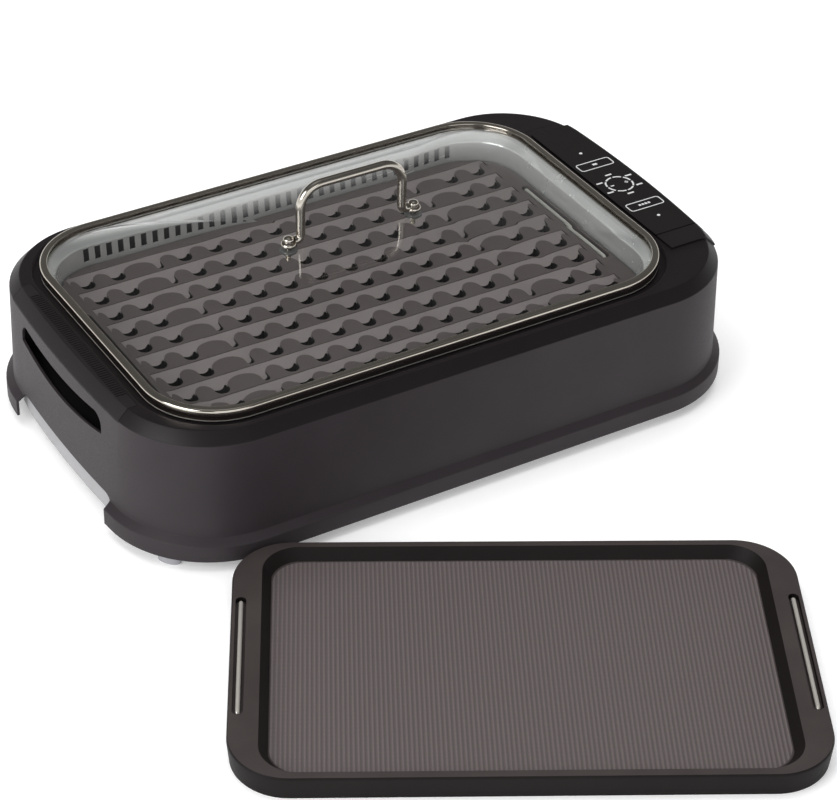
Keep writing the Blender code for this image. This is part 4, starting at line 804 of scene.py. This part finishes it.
def crescents():
    """Curved drain slots that fill the feet of the valleys, higher at their right end."""
    rear_edge = [(-1.0, 0.0034), (-0.6, 0.0020), (-0.2, 0.0014), (0.2, 0.0018), (0.55, 0.0032),
                 (0.8, 0.0052), (1.0, 0.0062)]
    turns = [pi + pi * k / 12 for k in range(13)]
    flats = []
    for back_y in row_backs():
        for share in VALLEYS:
            r = valley_radius(share)
            x, y = share * FIELD / 2, back_y - PITCH + LAND + r
            outer = [(x + (r + 0.0005) * cos(a), y + (r + 0.0005) * sin(a)) for a in turns]
            size = r / VALLEY_RADIUS
            rear = [(x + r * u, y + v * size + 0.0009) for u, v in rear_edge]
            flats.append(outer + rear[::-1])
    return prism(flats, 0.075, PLATE_TOP - 0.0017)


def bail_slot_flat(bar):
    """The bail's slot seen from above, with round ends."""
    r = 0.00375
    half = 0.0606 - r
    turns = [pi * i / 10 for i in range(11)]
    return ([(bar + r * cos(a), half + r * sin(a)) for a in turns]
            + [(bar - r * cos(a), -half - r * sin(a)) for a in turns])


def bail_cuts(half_x, top):
    """A slot in each end for the bar, a bore for each leg and room below for the feet."""
    cuts = []
    for side in (-1, 1):
        bar = side * (half_x - BAR_IN)
        bores = [circle(bar, end * LEG_Y, 0.0019, 16) for end in (-1, 1)]
        xs = sorted((bar - side * 0.0030, bar + side * 0.0021))
        rooms = [((xs[0], ys[0], top - 0.03), (xs[1], ys[1], top - 0.0062))
                 for ys in ((-0.0597, -0.0508), (0.0508, 0.0597))]
        cuts += [minus(prism([bail_slot_flat(bar)], top - 0.004, top + 0.01)),
                 minus(prism(bores, top - 0.008, top - 0.003)), minus(boxes(*rooms))]
    return cuts


def make_bail(name, bar, top, matrix, body, node):
    bar_z, foot_z, foot_y = top - 0.0018, top - 0.0158, 0.053
    points = [(bar, -foot_y, foot_z), (bar, -LEG_Y, foot_z), (bar, -LEG_Y, bar_z),
              (bar, LEG_Y, bar_z), (bar, LEG_Y, foot_z), (bar, foot_y, foot_z)]
    made = wire(name, path3(points, 0.0022, 6), 0.0016, "wire", matrix)
    stand_for(made, body, node, slot="stainless")


def plate_block(top, bottom, hollow, inset=0.0):
    """A plate with an eased top edge, hollow from below up to a depth under its top."""
    section = [(0.0022, top), (0.0010, top - 0.0002), (0.0003, top - 0.0009),
               (0.0, top - 0.0022), (0.0014, bottom), (0.0044, bottom), (0.0044, top - hollow)]
    return loft([plate_ring(edge + inset, z) for edge, z in section], first=True, last=True)


def make_grill_plate():
    top = PLATE_TOP
    cuts = [minus(prism([channel_flat(back_y)], channel_floor(back_y), 0.11))
            for back_y in row_backs()]
    # The drain slots' cut walls get painted shade: the near-black inner material
    cuts.append(minus(crescents(), "inner"))
    cuts += bail_cuts(PLATE_X, top)
    made = solid("ridged_plate", plate_block(top, PLATE_BOTTOM, 0.0095),
                 ["plate", "channel", "flank"], BAY, cuts=cuts)
    # The channels' floors get painted light, a lighter copy of the plate's coating, and their
    # upright walls painted shade, a darker copy
    for face in made.data.polygons:
        depth = top - face.center.z
        if face.material_index or not 0.0001 < depth < 0.0034 or face.normal.z < -0.1:
            continue
        inside = abs(face.center.x - BAY.translation.x) < FIELD / 2 + 0.0005
        if inside and face.normal.z > 0.7:
            face.material_index = 1
        elif inside and face.normal.y > -0.9 and abs(face.normal.z) < 0.3:
            face.material_index = 2
    stand_for(made, "plate", "grill_plate", slot="grill_coating")
    bar = PLATE_X - BAR_IN
    make_bail("plate_wire_left", -bar, top, BAY, "plate_bail_left", "grill_bail_left")
    make_bail("plate_wire_right", bar, top, BAY, "plate_bail_right", "grill_bail_right")


def well_ring(slope, z):
    border = GRIDDLE_IN + slope
    return at_level(outline(PLATE_X - 0.021 - border, PLATE_Y - 0.0065 - border,
                            0.026 - slope / 2), z)


def make_griddle():
    top = PLATE_TOP - PLATE_BOTTOM
    floor = top - 0.0085
    side = rounded([(0.012, floor), (0.006, floor), (0.0, top), (-0.002, top + 0.003)],
                   [0.0022, 0.0])
    cuts = [minus(block([well_ring(slope, z) for slope, z in side]))]
    cuts += bail_cuts(PLATE_X - GRIDDLE_IN, top)
    made = solid("griddle_shell", plate_block(top, 0.0, 0.013, GRIDDLE_IN),
                 ["griddle", "well", "griddle side painted shade"], GRIDDLE, cuts=cuts)
    for face in made.data.polygons:
        if abs(face.center.z - floor) < 0.0003 and face.normal.z > 0.999:
            face.material_index = 1
        # Faces that are not flat on top get painted shade: the darker copy of the coating
        elif face.normal.z < 0.9:
            face.material_index = 2
    stand_for(made, "griddle", "griddle_plate", slot="griddle_coating")
    bar = PLATE_X - GRIDDLE_IN - BAR_IN
    make_bail("griddle_wire_left", -bar, top, GRIDDLE, "griddle_bail_a", "griddle_bail_left")
    make_bail("griddle_wire_right", bar, top, GRIDDLE, "griddle_bail_b", "griddle_bail_right")


# Lid: a dome over shares of the way out to its edge, with a flat middle that carries the handle

DOME_RISE, DOME_POWER, SLOPE_POWER = 0.0265, 2.3, 1.3
BLEND_IN, BLEND_OUT = 0.19, 0.46


def dome(share):
    return GLASS_EDGE + DOME_RISE * (1 - share ** DOME_POWER)


SEAT = dome(0.31)


def glass_height(share):
    """The dome, eased into its flat middle."""
    if share >= BLEND_OUT:
        return dome(share)
    t = max(0.0, share - BLEND_IN) / (BLEND_OUT - BLEND_IN)
    slope = -DOME_RISE * DOME_POWER * BLEND_OUT ** SLOPE_POWER * (BLEND_OUT - BLEND_IN)
    ease = t * t * (3 - 2 * t)
    return SEAT + (dome(BLEND_OUT) - SEAT) * ease + slope * t * t * (t - 1)


def make_glass():
    edge = outline(LID_X - 0.0075, LID_Y - 0.0075, LID_CORNER - 0.0075)
    rings = [bay_ring(-0.0030, GLASS_EDGE)]
    for share in [1.0 - i / 40 for i in range(40)]:
        rings.append([(x * share, y * share, glass_height(share)) for x, y in edge])
    made = solid("glass_dome", loft(rings, last=True), ["glass"], BAY, 0.004, angle=60.0)
    stand_for(made, "lid", "lid_glass", slot="glass")


def make_rim():
    """The steel band: round outside, with a channel that holds the glass's edge."""
    bottom, top = 0.1118, 0.1210
    section = rounded([(-0.004, bottom), (-0.0005, bottom), (0.0, bottom + 0.004), (0.0, top),
                       (-0.006, top), (-0.006, GLASS_EDGE + 0.0002)],
                      [0.001, 0.003, 0.0022, 0.0009])
    section += [(-0.0028, GLASS_EDGE + 0.0002), (-0.0028, GLASS_EDGE - 0.0042),
                (-0.006, GLASS_EDGE - 0.0042), (-0.006, bottom + 0.0004)]
    rings = [bay_ring(out, z) for out, z in section]
    made = skin("rim_band", loft(rings, closed=True), "steel", BAY, 40.0)
    stand_for(made, "lid", "lid_rim", slot="stainless")


def eye_profile(seat):
    turns = [2 * pi * i / 16 for i in range(16)]
    return [(0.0043 + 0.0017 * cos(a), seat + 0.0020 + 0.0020 * sin(a)) for a in turns]


def nut_profile(foot):
    """A round cap over a blind hole."""
    turns = [pi / 2 * i / 8 for i in range(1, 9)]
    cap = [(0.0042 * sin(a), foot + 0.0018 + 0.0027 * cos(a)) for a in turns]
    return ([(0.0, foot + 0.0045)] + cap
            + [(0.0042, foot), (0.0024, foot), (0.0024, foot + 0.003), (0.0, foot + 0.003)])


def stud_profile(head):
    """A stud that hangs through the glass, with a head under it and a thread at its foot."""
    stud = [(0.0, SEAT + 0.0068), (0.0020, SEAT + 0.0068), (0.0020, head), (0.0045, head),
            (0.0045, head - 0.0018)]
    for i in range(8):
        turn_z = head - 0.0018 - 0.0007 * i
        stud += [(0.0016, turn_z - 0.0002), (0.0020, turn_z - 0.0005)]
    return stud + [(0.0016, head - 0.0076), (0.0, head - 0.0077)]


def make_handle():
    seat, radius, upright = SEAT + 0.0003, 0.0036, 0.044
    foot, top_z = seat + radius, 0.1945 - radius
    low = path3([(-0.0498, 0, foot), (-upright, 0, foot), (-upright, 0, top_z)], 0.0042, 8)[:-1]
    crown = path3([low[-1], (-upright, 0, top_z), (upright, 0, top_z),
                   (upright, 0, foot + 0.0042)], 0.018, 12)[1:-1]
    path = low + crown + [Vector((-p.x, p.y, p.z)) for p in reversed(low)]
    grip = wire("handle_wire", path, radius, "handle", BAY, 7)
    stand_for(grip, "lid", "lid_handle", slot="stainless")
    for number, x in enumerate((-0.0543, 0.0543), 1):
        spot = BAY @ Matrix.Translation((x, 0.0, 0.0))
        eye = lathe("handle_eye_%d" % number, eye_profile(seat), "steel", spot)
        stand_for(eye, "lid", slot="stainless")
        cap = lathe("cap_nut_%d" % number, nut_profile(SEAT + 0.0046), "steel", spot)
        stand_for(cap, "lid", "lid_nut_%d" % number, slot="stainless")
        bolt = lathe("threaded_stud_%d" % number, stud_profile(SEAT - 0.0061), "steel", spot, 24)
        stand_for(bolt, "lid", "lid_stud_%d" % number, slot="stainless")


# What stays from the CAD gets its material here

def numbered(name, count):
    return ["%s_%d" % (name, i + 1) for i in range(count)]


KEPT = {
    "feet": numbered("foot", 4),
    "pan": ["base_pan"],
    "inner": ["hand_pocket_left", "hand_pocket_right", "power_inlet", "element_socket",
              "element_terminal", "fan_motor", "fan_shroud", "fan_impeller",
              *numbered("liner_post", 4)],
    "steel": ["fan_shaft", *numbered("liner_screw", 4)],
    "liner": ["drip_tray", *numbered("element_bracket", 2)],
    "element": ["heating_element"],
    "brass": numbered("inlet_pin", 3),
    "silicone": numbered("lid_seal", 2),
    "board": ["control_board"],
    "print": numbered("indicator_lens", 2),
}


def dress_kept_nodes():
    for mat, nodes in KEPT.items():
        for node in nodes:
            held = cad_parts[node]
            if not held.data.materials:
                held.data.materials.append(MATS[mat])
            for spot in held.material_slots:
                spot.material = MATS[mat]


# Floor, light and world

def make_stage():
    """A pale floor. Far from the object it fades to white for the camera alone."""
    bm = bmesh.new()
    bmesh.ops.create_grid(bm, x_segments=1, y_segments=1, size=6.0)
    mat = grained("floor", (0.92, 0.92, 0.92), 0.9, 40.0, 0.005, 0.0)
    shader = principled(mat)
    shader.inputs["Emission Color"].default_value = (1.0, 1.0, 1.0, 1.0)
    shader.inputs["Emission Strength"].default_value = 0.22
    coords, path = add_node(mat, "ShaderNodeTexCoord"), add_node(mat, "ShaderNodeLightPath")
    reach = add_node(mat, "ShaderNodeVectorMath", operation="LENGTH")
    link(mat, coords.outputs["Object"], reach.inputs[0])
    seen = arithmetic(mat, "MULTIPLY", spread(mat, reach.outputs["Value"], 0.9, 2.4, 0.0, 1.0),
                      path.outputs["Is Camera Ray"])
    white = add_node(mat, "ShaderNodeEmission")
    link(mat, mixed(mat, seen, shader.outputs["BSDF"], white.outputs[0]),
         mat.node_tree.nodes["Material Output"].inputs["Surface"])
    floor = mesh_object("floor", bm, Matrix.Identity(4))
    floor.data.materials.append(mat)


# Place, aim, size and power in watts of each lamp, and whether mirrors and glass show it
LAMPS = {
    "left key": ((-2.0, -0.3, 1.2), (0.0, 0.1, 0.05), (1.6, 1.2), 28.0, True),
    "overhead": ((0.1, 0.5, 2.4), (0.0, 0.0, 0.05), (2.6, 2.2), 44.0, False),
    "front fill": ((-0.4, -2.2, 1.2), (0.0, 0.0, 0.05), (2.0, 1.0), 7.0, True),
}


def area_lamp(name, spot, aim, size, power, mirrored):
    data = bpy.data.lights.new(name, "AREA")
    data.shape = "RECTANGLE"
    data.size, data.size_y = size
    data.energy = power
    lamp = add_object(name, data)
    lamp.visible_glossy = lamp.visible_transmission = mirrored
    lamp.location = spot
    lamp.rotation_euler = (Vector(aim) - Vector(spot)).to_track_quat("-Z", "Y").to_euler()


def mirror_sky(world):
    """What shiny surfaces reflect: white low down and overhead, a dark room between."""
    coords = add_node(world, "ShaderNodeTexCoord")
    parts = add_node(world, "ShaderNodeSeparateXYZ")
    sky, shade = add_node(world, "ShaderNodeValToRGB"), add_node(world, "ShaderNodeBackground")
    link(world, coords.outputs["Generated"], parts.inputs[0])
    link(world, parts.outputs["Z"], sky.inputs["Fac"])
    link(world, sky.outputs["Color"], shade.inputs["Color"])
    band = sky.color_ramp.elements
    band[0].position, band[0].color = 0.0, (1.0, 1.0, 1.0, 1.0)
    band[1].position, band[1].color = 1.0, (0.34, 0.34, 0.34, 1.0)
    for height, grey in ((0.10, 0.90), (0.28, 0.12), (0.80, 0.07), (0.93, 0.15)):
        band.new(height).color = (grey, grey, grey * 0.98, 1.0)
    return shade.outputs[0]


def light_scene():
    """Lamps, and a world that is white to the camera, a room in mirrors and soft light else."""
    for name, values in LAMPS.items():
        area_lamp(name, *values)
    world = bpy.data.worlds.new("world")
    world.use_nodes = True
    shade = world.node_tree.nodes["Background"]
    shade.inputs["Color"].default_value = (0.81, 0.805, 0.815, 1.0)
    shade.inputs["Strength"].default_value = 0.50
    backdrop = add_node(world, "ShaderNodeBackground", Color=(1.0, 1.0, 1.0, 1.0))
    depths = add_node(world, "ShaderNodeLightPath").outputs
    bounces = arithmetic(world, "ADD", depths["Diffuse Depth"], depths["Glossy Depth"])
    seen = arithmetic(world, "LESS_THAN", bounces, 0.5)
    mirrored = arithmetic(world, "GREATER_THAN", depths["Glossy Depth"], 0.5)
    around = mixed(world, mirrored, shade.outputs[0], mirror_sky(world))
    link(world, mixed(world, seen, around, backdrop.outputs[0]),
         world.node_tree.nodes["World Output"].inputs["Surface"])
    bpy.context.scene.world = world
    bpy.context.scene.view_settings.view_transform = "Standard"


place_camera()
make_housing()
make_grip()
make_panel()
make_marks()
make_liner()
make_grill_plate()
make_griddle()
make_glass()
make_rim()
make_handle()
dress_kept_nodes()
make_stage()
light_scene()
